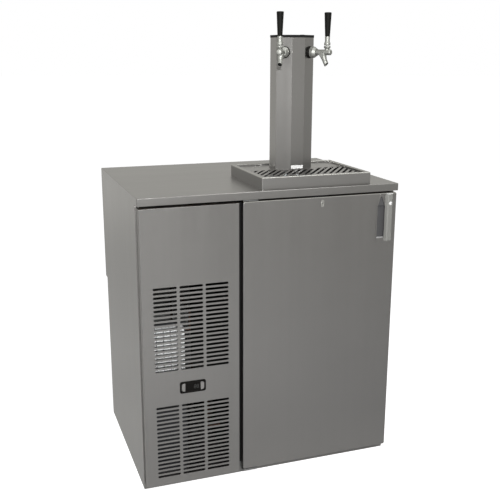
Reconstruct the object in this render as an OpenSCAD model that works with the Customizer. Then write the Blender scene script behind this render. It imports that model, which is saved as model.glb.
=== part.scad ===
// Draft beer cooler: a back-bar keg cabinet with a side-mounted condensing unit, a stainless counter,
// a drip tray and a two-tap tower. The origin is the middle of the footprint on the floor, +Z is up,
// and the door and the louvred panel face -Y.

/* [Cabinet] */
// Width of the counter and the cabinet
counter_w = 813; // [780:1:900]
// Depth of the counter from front to back
counter_d = 610; // [590:1:700]
// Height of the counter's top above the floor
counter_z = 906; // [880:1:960]
// Height of the counter's fascia
fascia_h = 22.5; // [20:0.5:32]
// Thickness of the stainless sheet
sheet = 1.2; // [0.8:0.1:1.5]
// Distance from the counter's front edge back to the cabinet's face
face_setback = 29; // [29:1:40]
// Distance from the counter's rear edge in to the lower rear panel
rear_setback = 29; // [20:1:45]
// Height at which the rear duct cover starts
duct_z = 520; // [480:5:640]
// Height of the base pan's flanges
base_h = 20; // [16:1:30]
// Width of the machine compartment
machine_w = 300; // [290:1:315]
// Thickness of the insulated walls and ceiling
wall = 45; // [35:1:50]
// Thickness of the insulated floor
floor_t = 50; // [40:1:60]

/* [Front panel] */
// Gap between the counter's fascia and the louvred panel
panel_top_gap = 8; // [7:0.5:12]
// Height of the louvred panel's lower edge above the floor
panel_z = 18; // [10:1:24]
// Width of one louvre slot
slot_w = 70; // [60:1:72]
// Height of one louvre slot
slot_h = 6.6; // [4:0.2:8]
// Distance between two rows of slots
slot_pitch = 13.2; // [12:0.1:13.6]
// Gap between two columns of slots
slot_gap = 7.8; // [5:0.2:10]
// Number of rows in the upper field
upper_rows = 20; // [12:1:21]
// Number of rows in the lower field
lower_rows = 18; // [10:1:18]
// Height of the upper field's lowest row
upper_z = 390; // [386:1:400]
// Height of the lower field's lowest row
lower_z = 48; // [40:1:50]

/* [Controller] */
// Width of the temperature controller's front
controller_w = 80; // [76:1:90]
// Height of the controller's front
controller_h = 37; // [34:1:42]
// Height of the controller's middle above the floor
controller_z = 329.5; // [318:0.5:340]
// Travel of a button
button_travel = 0.6; // [0.3:0.1:0.8]

/* [Door] */
// Setback of the door's and panel's faces behind the counter's front edge
skin_setback = 2; // [0:0.5:3]
// Thickness of the door pan
door_t = 20; // [18:0.5:20.5]
// Gap between the louvred panel's end and the door
hinge_gap = 9.5; // [8:0.5:14]
// Distance from the door's free edge to the cabinet's right side
door_side_gap = 3.5; // [1:0.5:6]
// Gap above the door
door_top_gap = 5.5; // [5.5:0.5:9]
// Height of the door's lower edge above the floor
door_z = 23; // [22:1:32]
// Distance from the door's left edge to the hinge pin
pin_inset = 13; // [12:0.5:13]
// Radius of the hinge pins
pin_r = 4; // [3:0.5:5]
// Radial clearance of a pin in its bushing
pin_fit = 0.05; // [0.02:0.01:0.1]
// Depth of the door's inner bulge inside the opening
plug_depth = 24; // [10:1:30]
// Gap between the bulge and the opening
plug_gap = 10; // [8:1:16]
// Width of the door gasket
gasket_w = 14; // [10:1:16]
// Radius of the door's corners as seen from the front
door_corner = 5; // [3:0.5:7]

/* [Handle and lock] */
// Length of the pull handle
handle_h = 147; // [130:1:170]
// Distance the handle's ridge stands out of the door
handle_out = 11; // [8:1:18]
// Depth of the finger pocket
pocket_depth = 16; // [12:0.5:17]
// Width of the finger pocket's mouth
pocket_w = 25; // [20:1:30]
// Distance from the door's top edge down to the lock
lock_drop = 20; // [18:1:20]
// Radius of the lock's flange
lock_r = 5.5; // [5:0.5:9]

/* [Drip tray] */
// Width of the drip tray
tray_w = 352; // [300:1:400]
// Depth of the drip tray
tray_d = 290; // [280:1:300]
// Height of the drip tray above the counter
tray_h = 36.5; // [30:0.5:50]
// Width of the flat rim
rim_w = 12; // [10:0.5:16]
// Depth of the grate below the rim
recess = 6; // [3:0.5:8]
// Distance from the counter's front edge to the tray
tray_setback = 15; // [8:1:20]
// Distance from the cabinet's middle to the tray's middle
tray_x = 141; // [120:1:180]
// Width of a slot in the grate
grate_slot = 9; // [6:0.5:12]
// Distance between two slots along the tray
grate_pitch = 21.5; // [19:0.5:26]
// Height that the grate lifts
grate_lift = 60; // [40:5:120]

/* [Tower] */
// Height of the tower's column
column_h = 401; // [360:1:480]
// Width of the narrow front face
front_face_w = 42; // [36:1:60]
// Width of each angled face
angled_face_w = 49; // [44:1:60]
// Angle of the tap faces from the front
face_angle = 34.6; // [30:0.2:40]
// Depth of the column's side faces
side_face_d = 53; // [48:1:70]
// Distance from the counter's front edge to the column
column_setback = 176; // [170:1:180]
// Distance from the column's top down to the taps
tap_drop = 43.5; // [40:0.5:60]
// Thickness of the column's cap
cap_t = 7.5; // [5:0.5:12]

/* [Taps] */
// Distance from the tap face to the lever
tap_out = 63; // [62:1:66]
// Length of the knob
knob_h = 70; // [50:1:160]
// Radius of the knob's top
knob_r = 10.8; // [9:0.2:16]
// Radius of the black collar
collar_r = 18; // [17:0.5:21]
// Tilt of the lever when the tap is open
lever_tilt = 25; // [15:1:25]
// Outside radius of the beer line
line_r = 5.5; // [5:0.1:6.5]

/* [Hidden] */
$fn = 48;
seat = 0.3;

left = -counter_w / 2;
right = counter_w / 2;
front = -counter_d / 2;
rear = counter_d / 2;
face_y = front + face_setback;
back_y = rear - rear_setback;
skin_y = front + skin_setback;
body_top = counter_z - fascia_h;
split_x = left + machine_w;
side_return = 13;

// The keg chamber, measured to the insulation
in_x0 = split_x + wall;
in_x1 = right - wall;
in_y1 = back_y - wall;
in_z0 = base_h + floor_t;
in_z1 = body_top - wall;

panel_x0 = left + 4;
panel_x1 = split_x - 2;
panel_mid = (panel_x0 + panel_x1) / 2;
panel_z1 = body_top - panel_top_gap;

door_x0 = split_x + hinge_gap;
door_x1 = right - door_side_gap;
door_z1 = body_top - door_top_gap;
door_y1 = skin_y + door_t;
door_w = door_x1 - door_x0;
pin_x = door_x0 + pin_inset;
pin_y = skin_y + 9;
bush_t = 1.1;
bush_h = 12;
bush_r = pin_r + 2.5;
leaf_gap = bush_t + 0.2;
plug_x0 = in_x0 + plug_gap;
plug_x1 = in_x1 - plug_gap;
plug_z0 = in_z0 + plug_gap;
plug_z1 = in_z1 - plug_gap;
plug_y = face_y + plug_depth;

lock_x = (door_x0 + door_x1) / 2;
lock_z = door_z1 - lock_drop;
cam_y0 = skin_y + 9;
cam_t = 3;
cam_reach = lock_drop + door_top_gap - sheet - seat;
cam_half = 6;
cam_tip = sqrt(cam_reach * cam_reach - cam_half * cam_half);
lock_body_r = lock_r - 0.8;
plug_r = lock_body_r - 1;

pocket_x0 = door_x1 - 65;
pocket_x1 = pocket_x0 + pocket_w;
pocket_wall = 1.5;
under_ridge = 10;
ridge_w = 25;
handle_z1 = door_z1 - 2;
handle_z0 = handle_z1 - handle_h;
pocket_z0 = handle_z0 + 8;
pocket_z1 = pocket_z0 + 101;
pocket_tip = 29;
taper_depth = 5;

tray_y0 = front + tray_setback;
tray_z1 = counter_z + tray_h;
deck_z = tray_z1 - recess;
grate_t = 1.5;
basin_z = counter_z + 3;
platform_y = column_setback + front + 16;
drain_x = tray_x - tray_w / 2 + 60;
drain_y = tray_y0 + 60;
drain_r = 6.5;

column_y = front + column_setback;
column_w = front_face_w + 2 * angled_face_w * cos(face_angle);
shoulder_d = angled_face_w * sin(face_angle);
column_z1 = deck_z + column_h;
tap_z = column_z1 - tap_drop;
face_mid_x = (front_face_w + angled_face_w * cos(face_angle)) / 2;
face_mid_y = column_y + shoulder_d / 2;
tail_in = 38;
hose_x = face_mid_x - tail_in * sin(face_angle);
hose_y = face_mid_y + tail_in * cos(face_angle);
duct_r = 30;
duct_mid_y = hose_y;

// Heights on the tap, counted from the axis of the faucet's barrel
shank_r = 11;
barrel_r = 8.7;
neck_top = barrel_r + 0.3;
bore_r = 6.1;
pivot_h = 13;
bonnet_top = 5.5;
collar_lift = 9;
knob_base = 46;
rod_r = 2.2;
rod_len = 12;
valve_travel = rod_len * 0.98 * lever_tilt * PI / 180;

compressor_r = 75;
compressor_h = 200;
compressor_gap = 115;
compressor_x = left + 0.55 * machine_w;
compressor_y = back_y - compressor_r - compressor_gap;
foot_h = 14;
foot_r = 15;
foot_x = 78;
foot_y = 58;
coil_x0 = left + 12;
coil_z0 = 352;
coil_z1 = 494;
coil_t = 40;
coil_in = 60;
shroud_y = skin_y + coil_in + coil_t + seat;
fan_r = 56;
coil_cols = 6;
fin_w = 19;
fin_gap = 4.4;
coil_w = coil_cols * fin_w + (coil_cols - 1) * fin_gap;
coil_tubes = 5;
coil_step = 27;
coil_low = coil_z0 + 17;
tube_out = 6;
tube_r = 4.8;
fan_x = coil_x0 + coil_w / 2;
fan_z = (coil_z0 + coil_z1) / 2;

evap_margin = 41.5;
evap_w = in_x1 - in_x0 - 2 * evap_margin;
evap_d = 120;
evap_h = 140;
evap_x0 = (in_x0 + in_x1 - evap_w) / 2;
evap_y0 = in_y1 - sheet - evap_d;
evap_z0 = in_z1 - sheet - evap_h;
evap_fan_x = evap_x0 + evap_w / 2;
evap_fan_z = evap_z0 + evap_h / 2;
evap_fan_r = 56;
evap_slot_x0 = evap_fan_r + 24;
evap_slot_x1 = evap_w / 2 - 16;

leg_x = right - 45;
leg_y0 = face_y + 45;
leg_y1 = back_y - 45;
leg_r = 5.25;
pan_t = 1.5;

stainless = [0.66, 0.66, 0.65];
bright = [0.8, 0.8, 0.8];
galvanised = [0.58, 0.6, 0.61];
black = [0.06, 0.06, 0.06];
foam = [0.87, 0.8, 0.58];
white = [0.86, 0.87, 0.86];
copper = [0.72, 0.45, 0.3];

// A block between two opposite corners
module block(a, b) translate(a) cube(b - a);

// A frame: a block with a window right through it along Y
module frame_y(a, b, border) difference() {
    block(a, b);
    block(a + [border, -1, border], b + [-border, 1, -border]);
}

// A flat outline with rounded corners
module rounded(w, h, r) {
    square([w - 2 * r, h], center = true);
    square([w, h - 2 * r], center = true);
    for (x = [-1, 1], y = [-1, 1]) translate([x * (w / 2 - r), y * (h / 2 - r)]) circle(r);
}

// A plate that stands upright and faces -Y, with rounded corners
module face_plate(x, y, z, w, h, t, r) translate([x, y, z]) rotate([90, 0, 0])
    translate([0, 0, -t]) linear_extrude(t) rounded(w, h, r);

// A cylinder along Y from y0 to y1
module rod_y(x, z, y0, y1, r) translate([x, y0, z]) rotate([-90, 0, 0]) cylinder(r = r, h = y1 - y0);

// A pipe through a list of points, with round elbows
module pipe(points, r) {
    for (i = [0:len(points) - 2]) {
        d = points[i + 1] - points[i];
        translate(points[i]) rotate([0, acos(d[2] / norm(d)), atan2(d[1], d[0])])
            cylinder(r = r, h = norm(d));
    }
    for (i = [1:len(points) - 2]) translate(points[i]) sphere(r * 1.12);
}

// A blade ring: pitched blades round a hub, turning about Y
module fan(x, y, z, r, blades, depth) translate([x, y, z]) rotate([-90, 0, 0]) {
    difference() {
        cylinder(r = r * 0.3, h = depth);
        translate([0, 0, depth * 0.3]) cylinder(r = 3.1, h = depth);
    }
    intersection() {
        difference() {
            cylinder(r = r, h = depth);
            translate([0, 0, -1]) cylinder(r = r * 0.28, h = depth + 2);
        }
        union() for (i = [0:blades - 1]) rotate([0, 0, i * 360 / blades])
            translate([0, 0, depth / 2]) rotate([32, 0, 0])
                block([r * 0.2, -depth * 0.75, -0.8], [r, depth * 0.75, 0.8]);
    }
}

// Cabinet

module base_pan() color(galvanised) {
    x0 = left + sheet;
    x1 = right - sheet;
    y1 = back_y - sheet;
    difference() {
        union() {
            difference() {
                block([x0, face_y, 0], [x1, y1, base_h]);
                block([x0 + pan_t, face_y + pan_t, pan_t], [x1 - pan_t, y1 - pan_t, base_h + 1]);
            }
            for (x = [in_x0, (in_x0 + in_x1) / 2, in_x1])
                block([x - 20, face_y + 1.5, 1.5], [x + 20, y1 - 1.5, base_h]);
            for (x = [-leg_x, leg_x], y = [leg_y0, leg_y1]) translate([x, y, 1.5]) cylinder(r = 16, h = 6);
        }
        for (x = [-leg_x, leg_x], y = [leg_y0, leg_y1]) translate([x, y, -1]) cylinder(r = leg_r, h = 10);
    }
}

module left_side_panel() mirror([1, 0, 0]) right_side_panel();
module right_side_panel() color(stainless) {
    block([right - sheet, face_y, 0], [right, back_y, body_top]);
    block([right - side_return, face_y, base_h + seat], [right - sheet, face_y + sheet, body_top]);
}

vent_x0 = left + 30;
vent_x1 = split_x - 30;
vent_z0 = 86;
vent_z1 = 196;
vent_rows = 5;
vent_pitch = (vent_z1 - vent_z0 - 20) / vent_rows;

module rear_panel() color(stainless) difference() {
    block([left + sheet, back_y - sheet, 0], [right - sheet, back_y, body_top]);
    block([vent_x0, back_y - 5, vent_z0], [vent_x1, back_y + 5, vent_z1]);
}

module rear_grille() color(stainless) difference() {
    block([vent_x0 - 14, back_y, vent_z0 - 14], [vent_x1 + 14, back_y + 6, vent_z1 + 14]);
    block([vent_x0, back_y - 1, vent_z0], [vent_x1, back_y + 6 - sheet, vent_z1]);
    for (i = [0:vent_rows - 1]) block([vent_x0 + 15, back_y, vent_z0 + 13 + i * vent_pitch],
                                      [vent_x1 - 15, back_y + 7, vent_z0 + 24 + i * vent_pitch]);
}

module rear_duct_cover() color(stainless) difference() {
    block([left, back_y, duct_z], [right, rear, body_top]);
    block([left + sheet, back_y - 1, duct_z + sheet], [right - sheet, rear - sheet, body_top - sheet]);
}

module machine_wall() color(galvanised) {
    block([split_x - sheet, face_y + pan_t + 0.1, pan_t], [split_x, back_y - sheet - pan_t - 0.1, base_h + 1]);
    block([split_x - sheet, face_y + sheet, base_h + 0.1], [split_x, back_y - sheet, body_top]);
}

module foam_shell() color(foam) difference() {
    block([split_x, face_y + sheet, base_h], [right - sheet, back_y - sheet, body_top]);
    block([in_x0, face_y, in_z0], [in_x1, in_y1, in_z1]);
    translate([tray_x, duct_mid_y, in_z1 - 1]) cylinder(r = duct_r, h = wall + 2);
    translate([drain_x, drain_y, in_z1 - 1]) cylinder(r = drain_r + 4, h = wall + 2);
}

module chamber_liner() color(white) difference() {
    union() {
        block([split_x + side_return, face_y, base_h], [right - side_return, face_y + sheet, body_top]);
        block([in_x0, face_y, in_z0], [in_x1, in_y1, in_z1]);
    }
    block([in_x0 + sheet, face_y - 1, in_z0 + sheet], [in_x1 - sheet, in_y1 - sheet, in_z1 - sheet]);
    translate([tray_x, duct_mid_y, in_z1 - 5]) cylinder(r = duct_r, h = 10);
    translate([drain_x, drain_y, in_z1 - 5]) cylinder(r = drain_r + 4, h = 10);
}

module mullion_strip() color(black)
    block([split_x - 4, face_y, base_h + seat], [split_x + side_return, face_y + sheet, body_top]);

module counter_deck() color([0.55, 0.45, 0.32]) difference() {
    block([left + sheet + seat, face_y, body_top], [right - sheet - seat, rear - sheet - seat, counter_z - sheet]);
    translate([tray_x, duct_mid_y, body_top - 1]) cylinder(r = duct_r, h = fascia_h + 2);
    translate([drain_x, drain_y, body_top - 1]) cylinder(r = drain_r + 4, h = fascia_h + 2);
}

module counter_top() color(stainless) difference() {
    union() {
        difference() {
            block([left, front, body_top], [right, rear, counter_z]);
            block([left + sheet, front + sheet, body_top - 1], [right - sheet, rear - sheet, counter_z - sheet]);
        }
        difference() {
            block([left + sheet, front + sheet, body_top], [right - sheet, front + 16, body_top + sheet]);
            block([lock_x - 36, front + sheet, body_top - 1], [lock_x + 26, front + 17, body_top + 2]);
        }
    }
    tray_area(-seat, counter_z - 5, counter_z + 1);
}

// Louvred panel and controller

module slot_outline() {
    square([slot_w - slot_h, slot_h], center = true);
    for (s = [-1, 1]) translate([s * (slot_w - slot_h) / 2, 0]) circle(slot_h / 2);
}

module slot_field(z0, rows) for (row = [0:rows - 1], col = [-1:1])
    translate([panel_mid + col * (slot_w + slot_gap), skin_y - 1, z0 + row * slot_pitch])
        rotate([-90, 0, 0]) linear_extrude(sheet + 2) slot_outline();

controller_cut_w = controller_w - 9;
controller_cut_h = controller_h - 8;

module compressor_panel() color(stainless) difference() {
    block([panel_x0, skin_y, panel_z], [panel_x1, face_y, panel_z1]);
    block([panel_x0 + sheet, skin_y + sheet, panel_z + sheet], [panel_x1 - sheet, face_y + 1, panel_z1 - sheet]);
    slot_field(upper_z, upper_rows);
    slot_field(lower_z, lower_rows);
    block([panel_mid - controller_cut_w / 2, skin_y - 1, controller_z - controller_cut_h / 2],
          [panel_mid + controller_cut_w / 2, skin_y + 3, controller_z + controller_cut_h / 2]);
}

bezel_t = 1.6;
button_w = 10.5;
button_h = 24;
button_x = controller_w / 2 - 11;

module button_outline(grow) intersection() {
    translate([-button_w / 2, 0]) circle(button_w + grow + 2);
    translate([-button_w / 2 - grow, -button_h / 2 - grow]) square([button_w + 2 * grow, button_h + 2 * grow]);
}

module button_prism(side, y0, y1, grow) translate([panel_mid + side * button_x, y0, controller_z])
    rotate([-90, 0, 0]) linear_extrude(y1 - y0) scale([side, 1]) button_outline(grow);

module controller_case() color(black) difference() {
    union() {
        face_plate(panel_mid, skin_y - bezel_t, controller_z, controller_w, controller_h, bezel_t, 4);
        block([panel_mid - controller_cut_w / 2 + seat, skin_y - 0.1, controller_z - controller_cut_h / 2 + seat],
              [panel_mid + controller_cut_w / 2 - seat, skin_y + 58, controller_z + controller_cut_h / 2 - seat]);
    }
    face_plate(panel_mid, skin_y - bezel_t - 1, controller_z, 2 * button_x - button_w - 4, controller_h - 12, 1.6, 2);
    for (side = [-1, 1]) button_prism(side, skin_y - bezel_t - 1, skin_y + 4, seat);
}

module button(side) color([0.55, 0.56, 0.56])
    button_prism(side, skin_y - bezel_t - 0.9, skin_y + 4 - button_travel - seat, 0);
module button_left() button(-1);
module button_right() button(1);

// Door

module door_face(shrink, y0, y1) face_plate((door_x0 + door_x1) / 2, y0, (door_z + door_z1) / 2,
    door_w - 2 * shrink, door_z1 - door_z - 2 * shrink, y1 - y0, door_corner - shrink);

// The tapered top of the finger pocket, which is shallower than the pocket
module pocket_taper(grow, y0, y1) translate([0, y0, 0]) rotate([90, 0, 0]) translate([0, 0, y0 - y1])
    linear_extrude(y1 - y0) polygon([
        [pocket_x0 - grow, pocket_z1 - 1], [pocket_x1 + grow, pocket_z1 - 1], [pocket_x1 + grow, pocket_z1],
        [(pocket_x0 + pocket_x1) / 2 + 1.5, pocket_z1 + pocket_tip + 2 * grow],
        [(pocket_x0 + pocket_x1) / 2 - 1.5, pocket_z1 + pocket_tip + 2 * grow], [pocket_x0 - grow, pocket_z1]
    ]);

module door_cuts() {
    pocket_taper(pocket_wall, skin_y - 2, skin_y + taper_depth + pocket_wall);
    rod_y(lock_x, lock_z, skin_y - 2, cam_y0 + 0.2, lock_body_r + 0.2);
    block([pocket_x0 - pocket_wall, skin_y - 2, pocket_z0 - pocket_wall],
          [pocket_x1 + under_ridge + pocket_wall, skin_y + pocket_depth + pocket_wall, pocket_z1 + pocket_wall]);
    for (z = [door_z - 1, door_z1 - bush_h - 0.2]) translate([pin_x, pin_y, z])
        cylinder(r = bush_r, h = bush_h + 1.2);
}

module door_shell() color(stainless) difference() {
    intersection() {
        translate([0, 0, door_z - 1]) linear_extrude(door_z1 - door_z + 2) translate([(door_x0 + door_x1) / 2, 0]) union() {
            translate([0, skin_y + door_t / 2 + 1]) square([door_w, door_t - 2], center = true);
            translate([0, skin_y + 1]) square([door_w - 4, 2], center = true);
            for (s = [-1, 1]) translate([s * (door_w / 2 - 2), skin_y + 2]) circle(2);
        }
        door_face(0, skin_y - 1, door_y1);
    }
    door_face(sheet, skin_y + sheet, door_y1 + 1);
    door_cuts();
    block([lock_x - cam_half - 2, cam_y0 - 1, door_z1 - 3], [lock_x + cam_tip - 3, cam_y0 + cam_t + 1, door_z1 + 1]);
}

module door_foam() color(foam) difference() {
    union() {
        door_face(sheet, skin_y + sheet, door_y1 - sheet);
        block([plug_x0 + sheet, door_y1 - sheet, plug_z0 + sheet], [plug_x1 - sheet, plug_y - sheet, plug_z1 - sheet]);
    }
    door_cuts();
    block([lock_x - cam_tip - 3, cam_y0 - 0.8, lock_z - 12], [lock_x + cam_tip + 3, cam_y0 + cam_t + 1.5, door_z1]);
}

module door_liner() color(white) difference() {
    union() {
        door_face(sheet, door_y1 - sheet, door_y1);
        block([plug_x0, door_y1 - sheet, plug_z0], [plug_x1, plug_y, plug_z1]);
    }
    block([plug_x0 + sheet, door_y1 - sheet - 1, plug_z0 + sheet], [plug_x1 - sheet, plug_y - sheet, plug_z1 - sheet]);
    door_cuts();
}

module door_gasket() color(black) {
    inset = pin_inset + 1;
    y1 = face_y - seat;
    for (s = [[door_y1, door_y1 + 2, 0], [door_y1 + 2, y1 - 2.6, 3], [y1 - 2.6, y1, 0]])
        frame_y([door_x0 + inset + s[2], s[0], door_z + inset + s[2]],
                [door_x1 - inset - s[2], s[1], door_z1 - inset - s[2]], gasket_w - 2 * s[2]);
}

module ridge_outline() translate([pocket_x1, skin_y]) polygon([
    [0, -1], [0.16 * ridge_w, -0.91 * handle_out], [0.28 * ridge_w, -handle_out],
    [0.84 * ridge_w, -0.82 * handle_out], [0.98 * ridge_w, -handle_out / 2], [ridge_w, 0], [0, 0]
]);

module door_handle() color(stainless) difference() {
    union() {
        translate([0, 0, handle_z0]) linear_extrude(handle_h) ridge_outline();
        block([pocket_x0 - pocket_wall + seat, skin_y, pocket_z0 - pocket_wall + seat],
              [pocket_x1 + under_ridge + pocket_wall - seat, skin_y + pocket_depth + pocket_wall - seat,
               pocket_z1 + pocket_wall - seat]);
        translate([pocket_x0 - 3, skin_y - 1, 0]) rotate([90, 0, 0]) translate([0, 0, -1])
            linear_extrude(1) polygon([
                [0, handle_z0], [pocket_w + 4, handle_z0], [pocket_w + 4, handle_z1 - 2],
                [pocket_w / 2, handle_z1 - 2], [0, pocket_z1 + 4]
            ]);
        pocket_taper(pocket_wall - seat, skin_y, skin_y + taper_depth + pocket_wall - seat);
    }
    pocket_taper(0, skin_y - 2, skin_y + taper_depth);
    block([pocket_x0, skin_y - 3, pocket_z0], [pocket_x1, skin_y + pocket_depth, pocket_z1]);
    block([pocket_x0, skin_y + 2, pocket_z0], [pocket_x1 + under_ridge, skin_y + pocket_depth, pocket_z1]);
}

module lock_housing() color(bright) difference() {
    union() {
        rod_y(lock_x, lock_z, skin_y - 0.8, skin_y, lock_r);
        rod_y(lock_x, lock_z, skin_y - 0.5, cam_y0 - 0.3, lock_body_r);
    }
    rod_y(lock_x, lock_z, skin_y - 3, cam_y0 + 1, plug_r + 0.05);
}

module lock_plug() color(bright) difference() {
    rod_y(lock_x, lock_z, skin_y - 1.1, cam_y0, plug_r);
    block([lock_x - 0.6, skin_y - 3, lock_z - plug_r + 1], [lock_x + 0.6, skin_y + 4, lock_z + plug_r - 1]);
}

module lock_cam() color(galvanised) {
    rod_y(lock_x, lock_z, cam_y0, cam_y0 + cam_t, cam_half);
    block([lock_x, cam_y0, lock_z - cam_half], [lock_x + cam_tip, cam_y0 + cam_t, lock_z + cam_half]);
}

module hinge_bushings() color([0.8, 0.8, 0.76]) difference() {
    union() {
        for (z = [door_z, door_z1 - bush_h]) translate([pin_x, pin_y, z]) cylinder(r = bush_r - 0.05, h = bush_h);
        translate([pin_x, pin_y, door_z - bush_t]) cylinder(r = bush_r + 1.5, h = bush_t);
        translate([pin_x, pin_y, door_z1]) cylinder(r = bush_r + 1.5, h = bush_t);
    }
    translate([pin_x, pin_y, door_z - 5]) cylinder(r = pin_r + pin_fit, h = door_z1 - door_z + 10);
}

// A pivot hinge's bracket: a plate on the cabinet, a leaf over the door's end and the pin
leaf_x0 = door_x0 + 1;
leaf_x1 = door_x0 + 47;

module hinge_bracket_top() color(bright) {
    z0 = door_z1 + leaf_gap;
    block([leaf_x0, skin_y + 1, z0], [leaf_x1, face_y, z0 + 2.5]);
    block([leaf_x0, face_y - 2, z0], [leaf_x1, face_y, body_top + 14]);
    translate([pin_x, pin_y, door_z1 - bush_h + 1]) cylinder(r = pin_r, h = bush_h + leaf_gap);
}

module hinge_bracket_bottom() color(bright) {
    z1 = door_z - leaf_gap;
    block([leaf_x0, skin_y + 1, z1 - 6], [leaf_x1, face_y, z1]);
    block([leaf_x0, face_y - 2, 2], [leaf_x1, face_y, z1]);
    translate([pin_x, pin_y, z1 - 1]) cylinder(r = pin_r, h = bush_h + leaf_gap);
}

module strike_plate() color(bright) {
    x0 = lock_x - 34;
    x1 = lock_x + 18;
    block([x0, skin_y + 3, body_top - sheet], [x1, face_y, body_top]);
    block([x0, skin_y + 3, body_top - door_top_gap + 0.6], [x1, skin_y + 4.5, body_top]);
    block([x0, face_y - 1.5, body_top - sheet], [x1, face_y, body_top + 14]);
}

// Refrigeration

module evaporator_housing() color(white) difference() {
    block([evap_x0, evap_y0, evap_z0], [evap_x0 + evap_w, evap_y0 + evap_d, evap_z0 + evap_h]);
    block([evap_x0 + 1.5, evap_y0 + 1.5, evap_z0 + 1.5],
          [evap_x0 + evap_w - 1.5, evap_y0 + evap_d - 1.5, evap_z0 + evap_h - 1.5]);
    rod_y(evap_fan_x, evap_fan_z, evap_y0 - 1, evap_y0 + 2, evap_fan_r + 3);
    for (s = [-1, 1], i = [0:7])
        translate([evap_fan_x + s * (evap_slot_x0 + evap_slot_x1) / 2, 0, evap_z0 + 16 + i * 14])
            block([(evap_slot_x0 - evap_slot_x1) / 2, evap_y0 - 1, 0], [(evap_slot_x1 - evap_slot_x0) / 2, evap_y0 + 2, 7]);
}

module evaporator_coil() color(bright) {
    x0 = evap_x0 + 12;
    x1 = evap_x0 + evap_w - 12;
    y1 = evap_y0 + evap_d - 4;
    z0 = evap_z0 + 1.5;
    fins = 30;
    for (i = [0:fins]) block([x0 + i * (x1 - x0 - 1.5) / fins, y1 - evap_d / 3, z0],
                             [x0 + 1.5 + i * (x1 - x0 - 1.5) / fins, y1, z0 + 0.857 * evap_h]);
    for (j = [0:4], k = [0:1]) translate([x0 - 5, y1 - evap_d / 4 + k * evap_d / 6, z0 + evap_h * (0.1 + j * 0.164)])
        rotate([0, 90, 0]) cylinder(r = tube_r, h = x1 - x0 + 10);
}

module evaporator_motor() color(black) {
    y0 = evap_y0 + 0.217 * evap_d;
    rod_y(evap_fan_x, evap_fan_z, y0, y0 + 0.28 * evap_d, 0.4 * evap_fan_r);
    rod_y(evap_fan_x, evap_fan_z, y0 - 0.1 * evap_d, y0 + 1, 3);
    block([evap_fan_x - 6, y0 + 0.08 * evap_d, evap_z0 + 1.5], [evap_fan_x + 6, y0 + 0.2 * evap_d, evap_z0 + evap_h - 1.5]);
}

module evaporator_fan() color(black) fan(evap_fan_x, evap_y0 + 4, evap_fan_z, evap_fan_r, 5, 16);

module compressor() color(black) translate([compressor_x, compressor_y, 0]) {
    z0 = foot_h + pan_t;
    h = compressor_h;
    translate([0, 0, z0]) linear_extrude(0.02 * h) rounded(2 * (foot_x + foot_r + 2), 2 * (foot_y + foot_r + 2), foot_r + 3);
    translate([0, 0, z0 + 0.02 * h]) cylinder(r = compressor_r, h = 0.6 * h);
    translate([0, 0, z0 + 0.6 * h]) cylinder(r = 1.04 * compressor_r, h = 0.05 * h);
    translate([0, 0, z0 + 0.65 * h]) cylinder(r1 = compressor_r, r2 = 0.86 * compressor_r, h = 0.17 * h);
    translate([0, 0, z0 + 0.82 * h]) cylinder(r1 = 0.86 * compressor_r, r2 = 0.4 * compressor_r, h = 0.11 * h);
    for (x = [-1, 1]) translate([x * port_x, port_y, z0 + 0.725 * h]) cylinder(r = port_r, h = 0.275 * h);
}

port_x = 0.4 * compressor_r;
port_y = 0.667 * compressor_r;
port_r = 6;

module compressor_feet() color([0.12, 0.12, 0.12])
    for (x = [-foot_x, foot_x], y = [-foot_y, foot_y]) translate([compressor_x + x, compressor_y + y, pan_t]) difference() {
        cylinder(r = foot_r, h = foot_h);
        translate([0, 0, foot_h / 2]) rotate_extrude() translate([foot_r + 0.5, 0]) circle(foot_r / 6);
    }

module terminal_box() color([0.1, 0.1, 0.1])
    block([compressor_x - port_x, compressor_y - 1.5 * compressor_r, foot_h + 0.225 * compressor_h],
          [compressor_x + port_x, compressor_y - compressor_r - seat, foot_h + 0.575 * compressor_h]);

module condenser_coil() color(bright) {
    y1 = shroud_y - seat;
    y0 = y1 - coil_t;
    for (i = [0:coil_cols - 1]) {
        x = coil_x0 + i * (fin_w + fin_gap);
        block([x, y0, coil_z0], [x + fin_w, y1, coil_z1]);
    }
    for (j = [0:coil_tubes - 1], k = [0:1]) translate([coil_x0 - tube_out, y0 + coil_t / 4 + k * coil_t / 2, coil_low + j * coil_step])
        rotate([0, 90, 0]) cylinder(r = tube_r, h = coil_w + 2 * tube_out);
}

shroud_foot = 70;
fan_depth = 22;

module fan_shroud() color(galvanised) difference() {
    x0 = coil_x0 - 8;
    x1 = coil_x0 + coil_w + 10;
    union() {
        block([x0, shroud_y, 1.5], [x1, shroud_y + 1.5, coil_z1 + 8]);
        block([x0, shroud_y, 1.5], [x0 + 1.5, shroud_y + 26, coil_z1 + 8]);
        block([x1 - 1.5, shroud_y, 1.5], [x1, shroud_y + 26, coil_z1 + 8]);
        block([x0, shroud_y, 1.5], [x1, shroud_y + shroud_foot, 3]);
    }
    rod_y(fan_x, fan_z, shroud_y - 1, shroud_y + 3, fan_r + 4);
}

motor_gap = 34;
motor_t = 46;
motor_r = 32;

module condenser_motor() color(black) {
    y0 = shroud_y + motor_gap;
    rod_y(fan_x, fan_z, y0, y0 + motor_t, motor_r);
    rod_y(fan_x, fan_z, y0 - 0.47 * motor_gap, y0 + 1, 3);
    block([fan_x - motor_r / 5, y0 + motor_t / 2 - 3, 2 * pan_t], [fan_x + motor_r / 5, y0 + motor_t / 2 + 3, fan_z]);
}

module condenser_fan() color(bright) fan(fan_x, shroud_y + 6, fan_z, fan_r, 5, fan_depth);

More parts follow.
